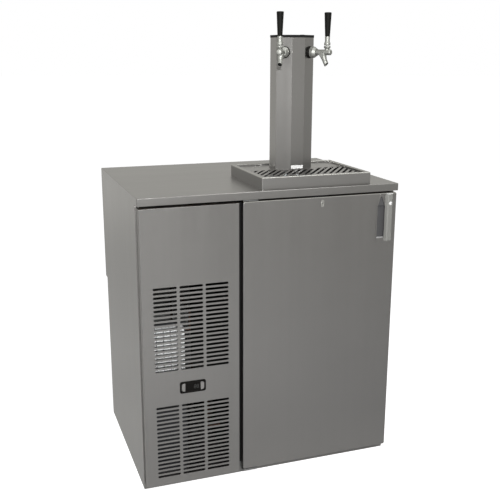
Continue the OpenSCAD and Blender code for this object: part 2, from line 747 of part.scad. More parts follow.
drier_r = 16;
drier_z = 120;
drier_h = 110;
drier_in = 180;
drier_x = split_x - wall;
drier_y = face_y + drier_in;
line_gap = 14;
hot_line_r = 4;
cold_line_r = 5;

module filter_drier() color(copper) translate([drier_x, drier_y, drier_z]) {
    cylinder(r = drier_r, h = drier_h);
    translate([0, 0, drier_h]) cylinder(r1 = drier_r, r2 = hot_line_r + 1, h = line_gap);
    translate([0, 0, -line_gap]) cylinder(r1 = hot_line_r + 1, r2 = drier_r, h = line_gap);
}

module refrigerant_lines() color(copper) {
    top = foot_h + pan_t + compressor_h;
    cx = compressor_x + port_x;
    cy = compressor_y + port_y;
    coil_x1 = coil_x0 + coil_w + tube_out;
    coil_y = shroud_y - seat - coil_t / 4;
    coil_top = coil_low + (coil_tubes - 1) * coil_step;
    low = drier_z - line_gap - 1.6 * drier_r;
    high = drier_z + drier_h + 2.5 * drier_r;
    pipe([[cx, cy, top], [cx, cy, coil_z1 + coil_t], [coil_x1 + line_gap, coil_y, coil_z1 + coil_t],
          [coil_x1 + line_gap, coil_y, coil_top], [coil_x1, coil_y, coil_top]], hot_line_r);
    pipe([[coil_x1, coil_y - coil_t / 2, coil_low], [coil_x1 + line_gap, coil_y - coil_t / 2, coil_low],
          [coil_x1 + line_gap, coil_y - coil_t / 2, high], [drier_x, drier_y, high],
          [drier_x, drier_y, drier_z + drier_h + line_gap]], hot_line_r);
    pipe([[drier_x, drier_y, drier_z - line_gap], [drier_x, drier_y, low], [split_x - sheet, drier_y, low]], hot_line_r);
    pipe([[cx - 2 * port_x, cy, top], [cx - 2 * port_x, cy, 1.55 * top], [split_x - sheet, cy, 1.55 * top]], cold_line_r);
}

// Drip tray

module tray_area(inset, z0, z1) block(
    [tray_x - tray_w / 2 + inset, tray_y0 + inset, z0],
    [tray_x + tray_w / 2 - inset, tray_y0 + tray_d - inset, z1]);

notch_half = column_w / 2 + 7;

module platform(grow, z0, z1) {
    block([tray_x - tray_w / 2 + rim_w + seat - grow, platform_y - grow, z0],
          [tray_x + tray_w / 2 - rim_w - seat + grow, tray_y0 + tray_d - rim_w - seat + grow, z1]);
    block([tray_x - notch_half - grow, column_y - 8 - grow, z0],
          [tray_x + notch_half + grow, platform_y, z1]);
}

module drip_tray() color(stainless) difference() {
    union() {
        difference() {
            tray_area(0, counter_z - sheet, tray_z1);
            tray_area(sheet, counter_z - sheet - 1, tray_z1 - sheet);
            tray_area(rim_w, counter_z - sheet - 1, tray_z1 + 1);
        }
        difference() {
            tray_area(rim_w - sheet, basin_z, tray_z1);
            tray_area(rim_w, basin_z + sheet, tray_z1 + 1);
        }
    }
    translate([tray_x, duct_mid_y, basin_z - 1]) cylinder(r = duct_r, h = sheet + 2);
    translate([drain_x, drain_y, basin_z - 1]) cylinder(r = drain_r + 0.9, h = sheet + 2);
}

// The plate that carries the tower, on four folded legs that stand in the basin
module tower_platform() color(stainless) difference() {
    union() {
        platform(0, deck_z - sheet, deck_z);
        for (s = [-1, 1]) {
            block([tray_x + s * (notch_half + 22) - 1, platform_y + 6, basin_z + sheet],
                  [tray_x + s * (notch_half + 22) + 1, tray_y0 + tray_d - rim_w - 2, deck_z - sheet / 2]);
            block([tray_x + s * (notch_half - 14) - 1, column_y + 4, basin_z + sheet],
                  [tray_x + s * (notch_half - 14) + 1, tray_y0 + tray_d - rim_w - 2, deck_z - sheet / 2]);
        }
    }
    translate([tray_x, duct_mid_y, deck_z - 5]) cylinder(r = duct_r, h = 10);
}

module drain_tailpiece() color(bright) translate([drain_x, drain_y, 0]) difference() {
    union() {
        translate([0, 0, in_z1 - 45]) cylinder(r = drain_r, h = 28);
        translate([0, 0, in_z1 - 17]) cylinder(r = drain_r + 0.8, h = basin_z + sheet - in_z1 + 17);
        translate([0, 0, basin_z + sheet]) cylinder(r = drain_r + 4, h = 1.5);
        translate([0, 0, counter_z - sheet]) cylinder(r = drain_r + 6, h = basin_z - counter_z + sheet);
    }
    translate([0, 0, in_z1 - 50]) cylinder(r = drain_r - 2, h = wall + 120);
}

grate_x0 = tray_x - tray_w / 2 + rim_w + 1;
grate_x1 = tray_x + tray_w / 2 - rim_w - 1;
grate_y0 = tray_y0 + rim_w + 1;
slot_y0 = front + 66;
slot_y1 = platform_y - 6;
slot_lean = 36;

module grate_slots() intersection() {
    block([grate_x0 + 14, slot_y0, deck_z - 5], [grate_x1 - 3, slot_y1, deck_z + 5]);
    union() for (i = [-14:14]) translate([tray_x + i * grate_pitch, (slot_y0 + slot_y1) / 2, deck_z])
        rotate([0, 0, -slot_lean]) block([-grate_slot / 2, -95, -6], [grate_slot / 2, 95, 6]);
}

module drip_grate() color(stainless) difference() {
    union() {
        block([grate_x0, grate_y0, deck_z - grate_t], [grate_x1, platform_y - 1, deck_z]);
        for (x = [grate_x0, grate_x1 - grate_t]) block([x, grate_y0, basin_z + sheet], [x + grate_t, platform_y - 1, deck_z]);
    }
    grate_slots();
    platform(1, deck_z - 10, deck_z + 1);
}

// Tower

// The column's plan: a narrow front face, two angled tap faces, two sides and a flat back
module column_outline(shrink) {
    a = front_face_w / 2 - shrink * tan(face_angle / 2);
    b = column_w / 2 - shrink;
    shoulder = shoulder_d + shrink * tan(45 - face_angle / 2);
    depth = shoulder_d + side_face_d - shrink;
    translate([tray_x, column_y]) polygon([
        [-a, shrink], [a, shrink], [b, shoulder], [b, depth], [-b, depth], [-b, shoulder]
    ]);
}

module on_face(side) translate([tray_x + side * face_mid_x, face_mid_y, tap_z])
    rotate([0, 0, side * face_angle]) children();

// A turned solid whose axis is the shank's, starting at distance u0 out of the face
module turned(u0, h, r1, r2) translate([0, -u0, 0]) rotate([90, 0, 0]) cylinder(r1 = r1, r2 = r2, h = h);

module tower_column() color(stainless) difference() {
    union() {
        translate([0, 0, deck_z]) linear_extrude(column_h) column_outline(0);
        block([tray_x - front_face_w / 2 + 0.5, column_y - 1, deck_z], [tray_x + front_face_w / 2 - 0.5, column_y + 1, deck_z + 13]);
    }
    translate([0, 0, deck_z - 1]) linear_extrude(column_h + 2) column_outline(1.5);
    for (side = [-1, 1]) on_face(side) turned(-6, 12, shank_r + 0.2, shank_r + 0.2);
}

module tower_cap() color(black) {
    translate([0, 0, column_z1]) linear_extrude(cap_t) column_outline(-1);
    difference() {
        translate([0, 0, column_z1 - 10]) linear_extrude(10.5) column_outline(1.7);
        translate([0, 0, column_z1 - 11]) linear_extrude(11) column_outline(4);
    }
    translate([tray_x + 30, column_y + 45, column_z1 + cap_t]) cylinder(r = 7, h = 1.5);
}

module beer_lines() color([0.75, 0.82, 0.85]) for (side = [-1, 1])
    translate([tray_x + side * hose_x, hose_y, 0]) difference() {
        union() {
            translate([0, 0, in_z1 - 90]) cylinder(r = line_r, h = tap_z - 14 - in_z1 + 90);
            translate([0, 0, in_z1 - 90]) cylinder(r = line_r + 4.5, h = 14, $fn = 6);
            translate([0, 0, in_z1 - 76]) cylinder(r = line_r + 2, h = 6);
        }
        translate([0, 0, in_z1 - 91]) cylinder(r = line_r - 1.4, h = tap_z - in_z1 + 95);
        translate([0, 0, in_z1 - 91]) cylinder(r = line_r - 1, h = 15);
    }

module tap_collars() color(black) for (side = [-1, 1]) on_face(side) difference() {
    union() {
        turned(0, 3, collar_r, collar_r);
        turned(3, 5, collar_r, collar_r - 3);
    }
    turned(-1, 12, shank_r + 0.1, shank_r + 0.1);
}

module shanks() color(bright) for (side = [-1, 1]) on_face(side) difference() {
    union() {
        turned(-30, 44, shank_r, shank_r);
        turned(-tail_in, 9, 6, 6);
        translate([0, tail_in, 0]) sphere(6.3);
        translate([0, tail_in, -14]) cylinder(r = 6, h = 14);
        translate([0, tail_in, -34]) cylinder(r = line_r - 1.5, h = 24);
    }
    turned(-tail_in, tail_in + 15, 3, 3);
    translate([0, tail_in, -35]) cylinder(r = 2.6, h = 36);
}

module shank_nuts() color(bright) for (side = [-1, 1]) on_face(side) difference() {
    turned_nut();
    turned(-20, 20, shank_r + 0.1, shank_r + 0.1);
}

module turned_nut() translate([0, 9.3, 0]) rotate([90, 0, 0]) cylinder(r = 17, h = 7.75, $fn = 6);

module coupling_nuts() color(bright) for (side = [-1, 1]) on_face(side) difference() {
    union() {
        turned(8, 11, 16.3, 16.3);
        turned(19, 6, 16.3, 11.5);
        turned(25, 2, 11.5, 10.5);
    }
    turned(7, 11, shank_r + 0.1, shank_r + 0.1);
    turned(17, 12, barrel_r + 0.1, barrel_r + 0.1);
    for (a = [0:45:315]) translate([0, -16, 0]) rotate([0, a, 0]) block([14.6, -6, -2.2], [18, 6, 2.2]);
}

// The spout leans away from the tower: a web under the barrel, then a tube whose mouth is cut slanting
spout_u = tap_out - 17;
web_lean = 21;
web_len = 25.2;
tube_lean = 6.5;
tube_len = 17.5;
mouth_lean = 48;
mouth_at = tube_len - 3.2;

module along_spout() translate([0, -spout_u, 0]) rotate([-web_lean, 0, 0]) children();
module along_tube() along_spout() translate([0, 0, -web_len]) rotate([-tube_lean, 0, 0]) children();

module spout(r1, r2, r3) difference() {
    union() {
        intersection() {
            along_spout() translate([0, 0, -web_len]) cylinder(r1 = r2, r2 = r1, h = web_len);
            block([-barrel_r + 0.3, -tap_out - 20, -40], [barrel_r - 0.3, 0, 0]);
        }
        along_tube() {
            sphere(r2 + 0.15);
            translate([0, 0, -tube_len]) cylinder(r1 = r3, r2 = r2, h = tube_len);
        }
    }
    along_tube() translate([0, 0, -mouth_at]) rotate([web_lean + tube_lean - mouth_lean, 0, 0])
        block([-15, -15, -30], [15, 15, 0]);
}

module faucet_bodies() color(bright) for (side = [-1, 1]) on_face(side) difference() {
    union() {
        turned(14, 4, shank_r, shank_r);
        turned(17.8, tap_out - 5, barrel_r, barrel_r);
        turned(tap_out + 12.8, 1.6, barrel_r, barrel_r - 1.6);
        translate([0, -tap_out, 0]) cylinder(r = barrel_r, h = neck_top);
        spout(12.6, 7.4, 6.8);
    }
    turned(13, 12, 7, 7);
    turned(24, 6, 7, bore_r);
    turned(29, tap_out - 29 + 10.5, bore_r, bore_r);
    translate([0, -tap_out, 0]) cylinder(r = bore_r + 0.2, h = 10);
    spout_passage();
}

module spout_passage() {
    along_spout() translate([0, 0, -web_len]) cylinder(r = 5, h = web_len);
    along_tube() {
        sphere(5.2);
        translate([0, 0, -tube_len - 6]) cylinder(r = 5, h = tube_len + 6);
    }
}

module faucet_bonnets() color(bright) for (side = [-1, 1]) on_face(side) translate([0, -tap_out, 0]) difference() {
    union() {
        translate([0, 0, neck_top]) cylinder(r1 = 8, r2 = 10.2, h = pivot_h + 1 - neck_top);
        translate([0, 0, pivot_h + 1]) cylinder(r1 = 10.2, r2 = 8.6, h = bonnet_top - 1);
    }
    translate([0, 0, neck_top - 1]) cylinder(r = 5.8, h = pivot_h + 3 - neck_top);
    translate([0, 0, pivot_h + 1]) cylinder(r1 = 5.8, r2 = 7.4, h = bonnet_top - 0.9);
}

module lever(side) color(bright) on_face(side) translate([0, -tap_out, pivot_h]) {
    sphere(5.1);
    rotate([0, 90, 0]) translate([0, 0, -5.45]) cylinder(r = 1.8, h = 10.9);
    translate([0, 0, -rod_len]) cylinder(r = 1.5, h = rod_len);
    translate([0, 0, -rod_len]) sphere(rod_r);
    cylinder(r = 3, h = collar_lift + 1);
    translate([0, 0, collar_lift]) cylinder(r1 = 8.4, r2 = 9.2, h = 2);
    translate([0, 0, collar_lift + 2]) cylinder(r1 = 9.2, r2 = 6.8, h = 3.5);
    translate([0, 0, collar_lift + 5]) cylinder(r = 6.8, h = knob_base - pivot_h - collar_lift - 5);
    translate([0, 0, knob_base - pivot_h - 1]) cylinder(r = 4.8, h = 15);
}
module lever_left() lever(-1);
module lever_right() lever(1);

module knob(side) color(black) on_face(side) translate([0, -tap_out, knob_base]) difference() {
    union() {
        cylinder(r1 = knob_r * 0.62, r2 = knob_r * 0.66, h = 2);
        translate([0, 0, 2]) cylinder(r1 = knob_r * 0.66, r2 = knob_r, h = knob_h - 5);
        translate([0, 0, knob_h - 3]) cylinder(r1 = knob_r, r2 = knob_r - 2.4, h = 3);
    }
    translate([0, 0, -1]) cylinder(r = 4.9, h = 16);
}
module knob_left() knob(-1);
module knob_right() knob(1);

// The shaft lies in the barrel: a valve head, a thin stem and a guide with the lever's slot
module valve_shaft(side) color([0.75, 0.65, 0.4]) on_face(side) difference() {
    union() {
        turned(30, 5, 5.8, 5.8);
        turned(34, tap_out - 39, 3.5, 3.5);
        turned(tap_out - 6, 12.5, 5.8, 5.8);
    }
    translate([0, -tap_out, 0]) {
        block([-rod_r - 0.6, -rod_r - 0.6, -7], [rod_r + 0.6, rod_r + 0.6, 7]);
        block([-rod_r - 0.6, -4.5, 2], [rod_r + 0.6, 4.5, 7]);
    }
}
module valve_shaft_left() valve_shaft(-1);
module valve_shaft_right() valve_shaft(1);

base_pan();
left_side_panel();
right_side_panel();
rear_panel();
rear_grille();
rear_duct_cover();
machine_wall();
foam_shell();
chamber_liner();
mullion_strip();
counter_deck();
counter_top();
compressor_panel();
controller_case();
button_left();
button_right();
hinge_bracket_top();
hinge_bracket_bottom();
strike_plate();
evaporator_housing();
evaporator_coil();
evaporator_motor();
evaporator_fan();
compressor();
compressor_feet();
terminal_box();
condenser_coil();
fan_shroud();
condenser_motor();
condenser_fan();
filter_drier();
refrigerant_lines();
drip_tray();
tower_platform();
drain_tailpiece();
drip_grate();
tower_column();
tower_cap();
beer_lines();
tap_collars();
shanks();
shank_nuts();
coupling_nuts();
faucet_bodies();
faucet_bonnets();
lever_left();
lever_right();
knob_left();
knob_right();
valve_shaft_left();
valve_shaft_right();
door_shell();
door_foam();
door_liner();
door_gasket();
door_handle();
lock_housing();
lock_plug();
lock_cam();
hinge_bushings();
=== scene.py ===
# %% [markdown]
# # A draft beer cooler
# A keg cabinet made of folded stainless sheet, with a machine compartment on the left, one insulated
# door, a counter, a drip tray and a tower with two taps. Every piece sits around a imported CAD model,
# whose nodes say where things are. The work is done in millimetres and turned into metres at the end
# of each piece, because sheet metal is thought of in millimetres.

# %% Load the CAD frame
import math

import bmesh
import bpy
from mathutils import Matrix, Vector


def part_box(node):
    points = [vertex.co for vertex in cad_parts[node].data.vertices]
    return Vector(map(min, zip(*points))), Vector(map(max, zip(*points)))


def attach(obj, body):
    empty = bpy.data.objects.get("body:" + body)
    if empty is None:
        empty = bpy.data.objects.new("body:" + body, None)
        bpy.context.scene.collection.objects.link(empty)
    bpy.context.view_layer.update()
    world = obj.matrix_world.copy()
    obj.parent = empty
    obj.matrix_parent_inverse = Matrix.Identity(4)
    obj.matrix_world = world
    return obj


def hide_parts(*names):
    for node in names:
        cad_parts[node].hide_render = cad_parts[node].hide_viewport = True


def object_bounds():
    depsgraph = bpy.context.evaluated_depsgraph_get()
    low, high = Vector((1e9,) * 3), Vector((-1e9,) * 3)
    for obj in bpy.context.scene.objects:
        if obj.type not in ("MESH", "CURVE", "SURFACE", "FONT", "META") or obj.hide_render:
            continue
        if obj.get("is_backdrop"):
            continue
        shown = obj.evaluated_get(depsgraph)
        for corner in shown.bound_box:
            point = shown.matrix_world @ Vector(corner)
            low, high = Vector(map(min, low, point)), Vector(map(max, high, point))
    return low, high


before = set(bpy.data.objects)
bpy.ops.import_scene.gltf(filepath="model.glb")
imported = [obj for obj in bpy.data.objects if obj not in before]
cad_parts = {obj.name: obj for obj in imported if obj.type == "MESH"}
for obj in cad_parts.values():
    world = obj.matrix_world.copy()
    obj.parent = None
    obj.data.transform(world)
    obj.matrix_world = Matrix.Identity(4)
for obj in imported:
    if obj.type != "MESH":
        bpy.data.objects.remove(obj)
cad_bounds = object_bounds()
MM = 0.001
TURN = 2 * math.pi


def span(node):
    """The lowest and highest corner of a CAD node, in millimetres."""
    low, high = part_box(node)
    return low / MM, high / MM


def at(x, y, z):
    return Matrix.Translation((x, y, z))


# %% [markdown]
# ## The camera
# The place, the turns and the lens come from solving the photograph's perspective from the long
# straight edges of the cabinet, so the render and the photograph lie on top of each other.

# %% Camera
YAW, PITCH, ROLL = (math.radians(angle) for angle in (19.509, 14.505, 0.14))
CAMERA_PLACE = (-0.8027, -2.3537, 1.2968)
SENSOR_WIDTH, FOCAL_LENGTH = 36, 55.34
camera = bpy.data.objects.new("camera", bpy.data.cameras.new("camera"))
bpy.context.scene.collection.objects.link(camera)
camera.data.sensor_width = SENSOR_WIDTH
camera.data.lens = FOCAL_LENGTH
camera.matrix_world = (
    Matrix.Translation(CAMERA_PLACE)
    @ Matrix.Rotation(-YAW, 4, "Z")
    @ Matrix.Rotation(math.pi / 2 - PITCH, 4, "X")
    @ Matrix.Rotation(ROLL, 4, "Z")
)
bpy.context.scene.camera = camera
bpy.context.scene.view_settings.view_transform = "Standard"

# %% [markdown]
# ## Shader maths
# A finish is a Principled shader with a few nodes in front of it. The small Value class wraps a
# socket, so that `1 - mask * 0.3` adds its Math nodes by itself and reads like the sum it is.


# %% Values and finishes
class Value:
    """A node's output that can be used in Python arithmetic."""

    def __init__(self, graph, socket):
        self.graph = graph
        self.socket = socket

    def maths(self, operation, first, second):
        return self.graph.node("Math", {"operation": operation}, {0: first, 1: second})

    def __add__(self, other):
        return self.maths("ADD", self, other)

    def __sub__(self, other):
        return self.maths("SUBTRACT", self, other)

    def __rsub__(self, other):
        return self.maths("SUBTRACT", other, self)

    def __mul__(self, other):
        return self.maths("MULTIPLY", self, other)

    __radd__ = __add__
    __rmul__ = __mul__


WARM = (1.0, 0.985, 0.93, 1)


class Graph:
    """A node tree of a material or of the world: adds nodes to it and sets or links their sockets."""

    def __init__(self, owner):
        owner.use_nodes = True
        self.tree = owner.node_tree

    def set(self, socket, value, node):
        socket = node.inputs[socket]
        if isinstance(value, Value):
            self.tree.links.new(value.socket, socket)
        else:
            socket.default_value = value

    def node(self, kind, settings, inputs, output=0):
        node = self.tree.nodes.new("ShaderNode" + kind)
        for key, value in settings.items():
            if key == "stops":
                while len(node.color_ramp.elements) < len(value):
                    node.color_ramp.elements.new(0.5)
                for element, (place, level) in zip(node.color_ramp.elements, value):
                    element.position = place
                    element.color = (level, level, level, 1)
            else:
                setattr(node, key, value)
        for key, value in inputs.items():
            self.set(key, value, node)
        return Value(self, node.outputs[output])

    def ray(self, kind):
        """1 for rays of one kind, such as "Camera", and 0 for all others."""
        return self.node("LightPath", {}, {}, "Is " + kind + " Ray")

    def warmed(self, share):
        """White, which turns warm as the share goes from 0 to 1."""
        return self.node("Mix", {"data_type": "RGBA"}, {0: share, 6: (1, 1, 1, 1), 7: WARM}, 2)


class Finish(Graph):
    """One material: its shader, its colour and the patterns that vary them."""

    def __init__(self, name, color, roughness, **sockets):
        self.material = bpy.data.materials.new(name)
        super().__init__(self.material)
        self.shader = self.tree.nodes["Principled BSDF"]
        self.color = (*color, 1)
        self.vary("Base Color", self.color)
        self.vary("Roughness", roughness)
        for socket, value in sockets.items():
            self.vary(socket.replace("_", " "), value)
        self.point = self.node("TexCoord", {}, {}, "Object")

    def vary(self, socket, value):
        self.set(socket, value, self.shader)

    def noise(self, scale, detail, stretch=(1, 1, 1)):
        point = self.node("Mapping", {}, {"Vector": self.point, "Scale": stretch})
        return self.node("TexNoise", {}, {"Vector": point, "Scale": scale, "Detail": detail})

    def shade(self, amount):
        """The base colour times a grey level, as a colour."""
        grey = self.node("CombineColor", {}, {0: amount, 1: amount, 2: amount})
        return self.node(
            "Mix", {"data_type": "RGBA", "blend_type": "MULTIPLY"}, {0: 1.0, 6: self.color, 7: grey}, 2
        )

    def bump(self, height, distance, strength):
        return self.node("Bump", {}, {"Height": height, "Distance": distance, "Strength": strength})


# %% [markdown]
# ## Brushed stainless steel
# A belt leaves scratches that run one way: fine ones, well under a millimetre wide, and broad faint
# streaks. One noise is stretched along the grain for each, and a third, unstretched, gives clouds.
# They change the roughness most, the colour a little, and the surface by a hundredth of a millimetre
# at most. Each direction is its own finish.


# %% Stainless finishes
FINE_SCRATCHES, BROAD_STREAKS, CLOUDS = 1400, 46, 5
ALONG_GRAIN = 0.012
SCRATCH_DEPTH = 0.00001


def brushed(name, grain, color, roughness, streaks=0.05):
    """Sheet metal brushed along one axis, 0 to 2."""
    finish = Finish(name, color, roughness, Metallic=1.0, IOR=1.6)
    stretch = [1.0, 1.0, 1.0]
    stretch[grain] = ALONG_GRAIN
    fine = finish.noise(FINE_SCRATCHES, 2, stretch)
    broad = finish.noise(BROAD_STREAKS, 3, stretch)
    cloud = finish.noise(CLOUDS, 2)
    finish.vary("Roughness", roughness - 0.1 + fine * 0.1 + broad * 0.06 + cloud * 0.04)
    level = 1 - 1.5 * streaks + fine * streaks + broad * streaks + cloud * streaks
    finish.vary("Base Color", finish.shade(level))
    finish.vary("Normal", finish.bump(fine, SCRATCH_DEPTH, 0.5))
    return finish.material


STEEL = (0.26, 0.255, 0.249)
steel_across = brushed("stainless_brushed_across", 0, STEEL, 0.36)
steel_upright = brushed("stainless_brushed_upright", 2, STEEL, 0.36)
steel_tray = brushed("stainless_tray", 0, (0.29, 0.285, 0.28), 0.36)
# A lighter satin steel for the lock. On the tray's rim it is a painted highlight.
satin_steel_and_rim_highlight = brushed("stainless_satin_and_painted_highlight", 2, (0.4, 0.4, 0.38), 0.42)
# A much brighter steel, a painted highlight on the door's top fold.
steel_painted_highlight = brushed("stainless_painted_highlight", 0, (0.6, 0.6, 0.58), 0.26, 0.03)
zinc = brushed("galvanised_sheet", 2, (0.23, 0.232, 0.23), 0.5, 0.12)

# %% [markdown]
# ## The other finishes
# The taps' satin plating, the brass and the dull copper have hardly any pattern, only the faint
# unevenness of polishing. Mouldings, rubber and enamel get a fine grain with clouds of more and less
# gloss, painted steel a coarser one, like a slight orange peel, and foam the coarsest. Each is a few
# nodes.


# %% Other finishes
MOULD_CLOUDS, POLISH_CLOUDS, PLIES = 18, 60, 110.0


def moulded(name, color, roughness, grain=900, depth=0.00003, **sockets):
    """A plastic or painted surface with a fine grain and slight differences in gloss."""
    finish = Finish(name, color, roughness, **sockets)
    fine = finish.noise(grain, 2)
    cloud = finish.noise(MOULD_CLOUDS, 3)
    finish.vary("Roughness", roughness - 0.05 + cloud * 0.1)
    finish.vary("Base Color", finish.shade(0.92 + cloud * 0.16))
    finish.vary("Normal", finish.bump(fine, depth, 0.4))
    return finish.material


def polished(name, color, roughness):
    """A plated or turned metal, which mirrors less at a slant than a perfect mirror does."""
    finish = Finish(name, color, roughness, Metallic=1.0, Specular_Tint=(0.35, 0.35, 0.34, 1))
    cloud = finish.noise(POLISH_CLOUDS, 3)
    finish.vary("Roughness", roughness - 0.03 + cloud * 0.07)
    finish.vary("Base Color", finish.shade(0.9 + cloud * 0.18))
    finish.vary("Normal", finish.bump(cloud, 0.00004, 0.3))
    return finish.material


chrome = polished("satin_chrome", (0.35, 0.355, 0.335), 0.56)
brass = polished("turned_brass", (0.55, 0.42, 0.2), 0.28)
copper = polished("drawn_copper", (0.07, 0.042, 0.032), 0.5)
fins = moulded("bare_fins", (0.85, 0.86, 0.86), 0.5)
black_plastic = moulded("black_moulding", (0.006, 0.0055, 0.005), 0.55, Specular_IOR_Level=0.07)
# A matte black. The tower's cap is really black. Elsewhere it is painted shade in gaps, slots and holes.
black_and_painted_shade = moulded("matte_black_and_painted_shade", (0.004, 0.004, 0.004), 0.7, Specular_IOR_Level=0.2)
knob_black = moulded("knob_black", (0.007, 0.007, 0.006), 0.55, Specular_IOR_Level=0.08)
# A pale moulding for the screw cap and the foot clip. On the pull and in the tray's basin it is painted
# light.
pale_grey_and_painted_light = moulded("pale_moulding_and_painted_light", (0.66, 0.66, 0.65), 0.4)
satin_grip = moulded("satin_grip", (0.2, 0.2, 0.187), 0.5, 500, 0.00002)
# Painted shade for the inside of the pull's pocket.
pocket_shade_grey = moulded("pull_pocket_painted_shade", (0.065, 0.065, 0.067), 0.6)
key_grey = moulded("grey_keys", (0.17, 0.165, 0.16), 0.5)
white_enamel = moulded("white_lining", (0.72, 0.73, 0.72), 0.4)
rubber = moulded("rubber", (0.02, 0.02, 0.02), 0.75)
# Black stoving paint for the compressor and the motors. On the fan's shroud and the condenser's tubes it
# is painted shade.
black_paint_and_painted_shade = moulded("black_stoving_paint_and_painted_shade", (0.015, 0.015, 0.017), 0.38, 500, 0.00006)
foam = moulded("insulation_foam", (0.75, 0.6, 0.3), 0.9, 300, 0.0004)
hose_clear = moulded("beer_line", (0.6, 0.64, 0.64), 0.3)
window = moulded("display_window", (0.004, 0.0035, 0.003), 0.16, Specular_IOR_Level=0.1)
digit_off = moulded("display_segments", (0.045, 0.045, 0.043), 0.3)


def wooden(name, color):
    """Plies that lie flat, as bands up the edge, and a grain along them."""
    finish = Finish(name, color, 0.6)
    ply = finish.node("TexWave", {"bands_direction": "Z"}, {"Vector": finish.point, "Scale": PLIES})
    grain = finish.noise(120, 4, (0.05, 1, 1))
    finish.vary("Base Color", finish.shade(0.65 + ply * 0.2 + grain * 0.3))
    return finish.material


plywood = wooden("plywood", (0.42, 0.27, 0.14))
print("materials:", len(bpy.data.materials))

# %% [markdown]
# ## Helpers for sheet metal
# Nearly everything here is a box, a folded pan, a flat plate with holes, a turned shape or a softened
# copy of a CAD mesh. Each helper starts from one bmesh operator and shapes it with others. A shape is
# only a bmesh until `piece` turns it into an object that rides on its body.


# %% Boxes and turned shapes
def block(low, high, radius=0.0, axes="xyz", steps=3):
    """A box between two corners, with the edges that run along the named axes rounded."""
    bm = bmesh.new()
    bmesh.ops.create_cube(bm, size=1)
    low, high = Vector(low), Vector(high)
    bmesh.ops.scale(bm, vec=high - low, verts=bm.verts)
    bmesh.ops.translate(bm, vec=(low + high) / 2, verts=bm.verts)
    if radius:
        round_edges(bm, [e for e in bm.edges if along(e) in axes], radius, steps)
    return bm


def along(edge):
    """The axis that an edge runs along, as a letter, or a dash."""
    d = edge.verts[1].co - edge.verts[0].co
    for i, letter in enumerate("xyz"):
        if abs(d[i]) > 0.999 * d.length:
            return letter
    return "-"


def round_edges(bm, edges, radius, steps):
    bmesh.ops.bevel(
        bm, geom=edges, offset=radius, offset_type="OFFSET", segments=steps, profile=0.5,
        affect="EDGES", clamp_overlap=True, material=-1,
    )


def join(target, *others):
    """Adds other shapes to a shape and frees them."""
    for other in others:
        mesh = bpy.data.meshes.new("part")
        other.to_mesh(mesh)
        other.free()
        target.from_mesh(mesh)
        bpy.data.meshes.remove(mesh)
    return target


def moved(bm, matrix):
    bmesh.ops.transform(bm, matrix=matrix, verts=bm.verts)
    return bm


def remove_faces(bm, unwanted):
    bmesh.ops.delete(bm, geom=[f for f in bm.faces if unwanted(f)], context="FACES")


def lathe(profile, matrix=Matrix.Identity(4), steps=40):
    """A turned shape: (radius, height) points spun about Z, then placed by a matrix."""
    bm = bmesh.new()
    ring = [bm.verts.new((radius, 0, height)) for radius, height in profile]
    line = [bm.edges.new(pair) for pair in zip(ring, ring[1:])]
    bmesh.ops.spin(
        bm, geom=ring + line, cent=(0, 0, 0), axis=(0, 0, 1), angle=TURN, steps=steps, use_merge=True
    )
    bmesh.ops.remove_doubles(bm, verts=bm.verts, dist=0.001)
    return moved(bm, matrix)


def rod(start, end, radius, steps):
    """A closed cylinder between two points."""
    start, end = Vector(start), Vector(end)
    turn = (end - start).to_track_quat("Z", "Y").to_matrix().to_4x4()
    length = (end - start).length
    profile = [(0, 0), (radius, 0), (radius, length), (0, length)]
    return lathe(profile, Matrix.Translation(start) @ turn, steps)


# %% [markdown]
# ## Plates and pans
# Holes could be cut with booleans, but a hundred slots would take long and leave ragged faces.
# Instead all the outlines are drawn first, and one triangle fill makes the sheet between them. A pan
# is a box without one side, whose edges are rounded before it gets its thickness.


# %% Plates and pans
SHEET = 1.2


def loop_edges(bm, points):
    corners = [bm.verts.new(point) for point in points]
    return [bm.edges.new((a, b)) for a, b in zip(corners, corners[1:] + corners[:1])]


def slot_edges(bm, x, y, length, width, turn=0.0, steps=12):
    """The outline of a slot with round ends: a circle whose two halves are pulled apart."""
    circle = bmesh.ops.create_circle(bm, segments=steps, radius=width / 2)["verts"]
    bmesh.ops.rotate(bm, cent=(0, 0, 0), matrix=Matrix.Rotation(math.pi / steps, 3, "Z"), verts=circle)
    for side in (-1, 1):
        half = [v for v in circle if v.co.x * side > 0]
        bmesh.ops.translate(bm, vec=(side * (length - width) / 2, 0, 0), verts=half)
    place = at(x, y, 0) @ Matrix.Rotation(turn, 4, "Z")
    bmesh.ops.transform(bm, matrix=place, verts=circle)
    return list({e for v in circle for e in v.link_edges})


def cut_edges(bm, holes, windows):
    """The outlines of all slots and of all windows, which are lists of corners."""
    edges = []
    for hole in holes:
        edges += slot_edges(bm, *hole)
    for corners in windows:
        edges += loop_edges(bm, [(x, y, 0) for x, y in corners])
    return edges


def box_corners(x0, y0, x1, y1):
    return [(x0, y0), (x1, y0), (x1, y1), (x0, y1)]


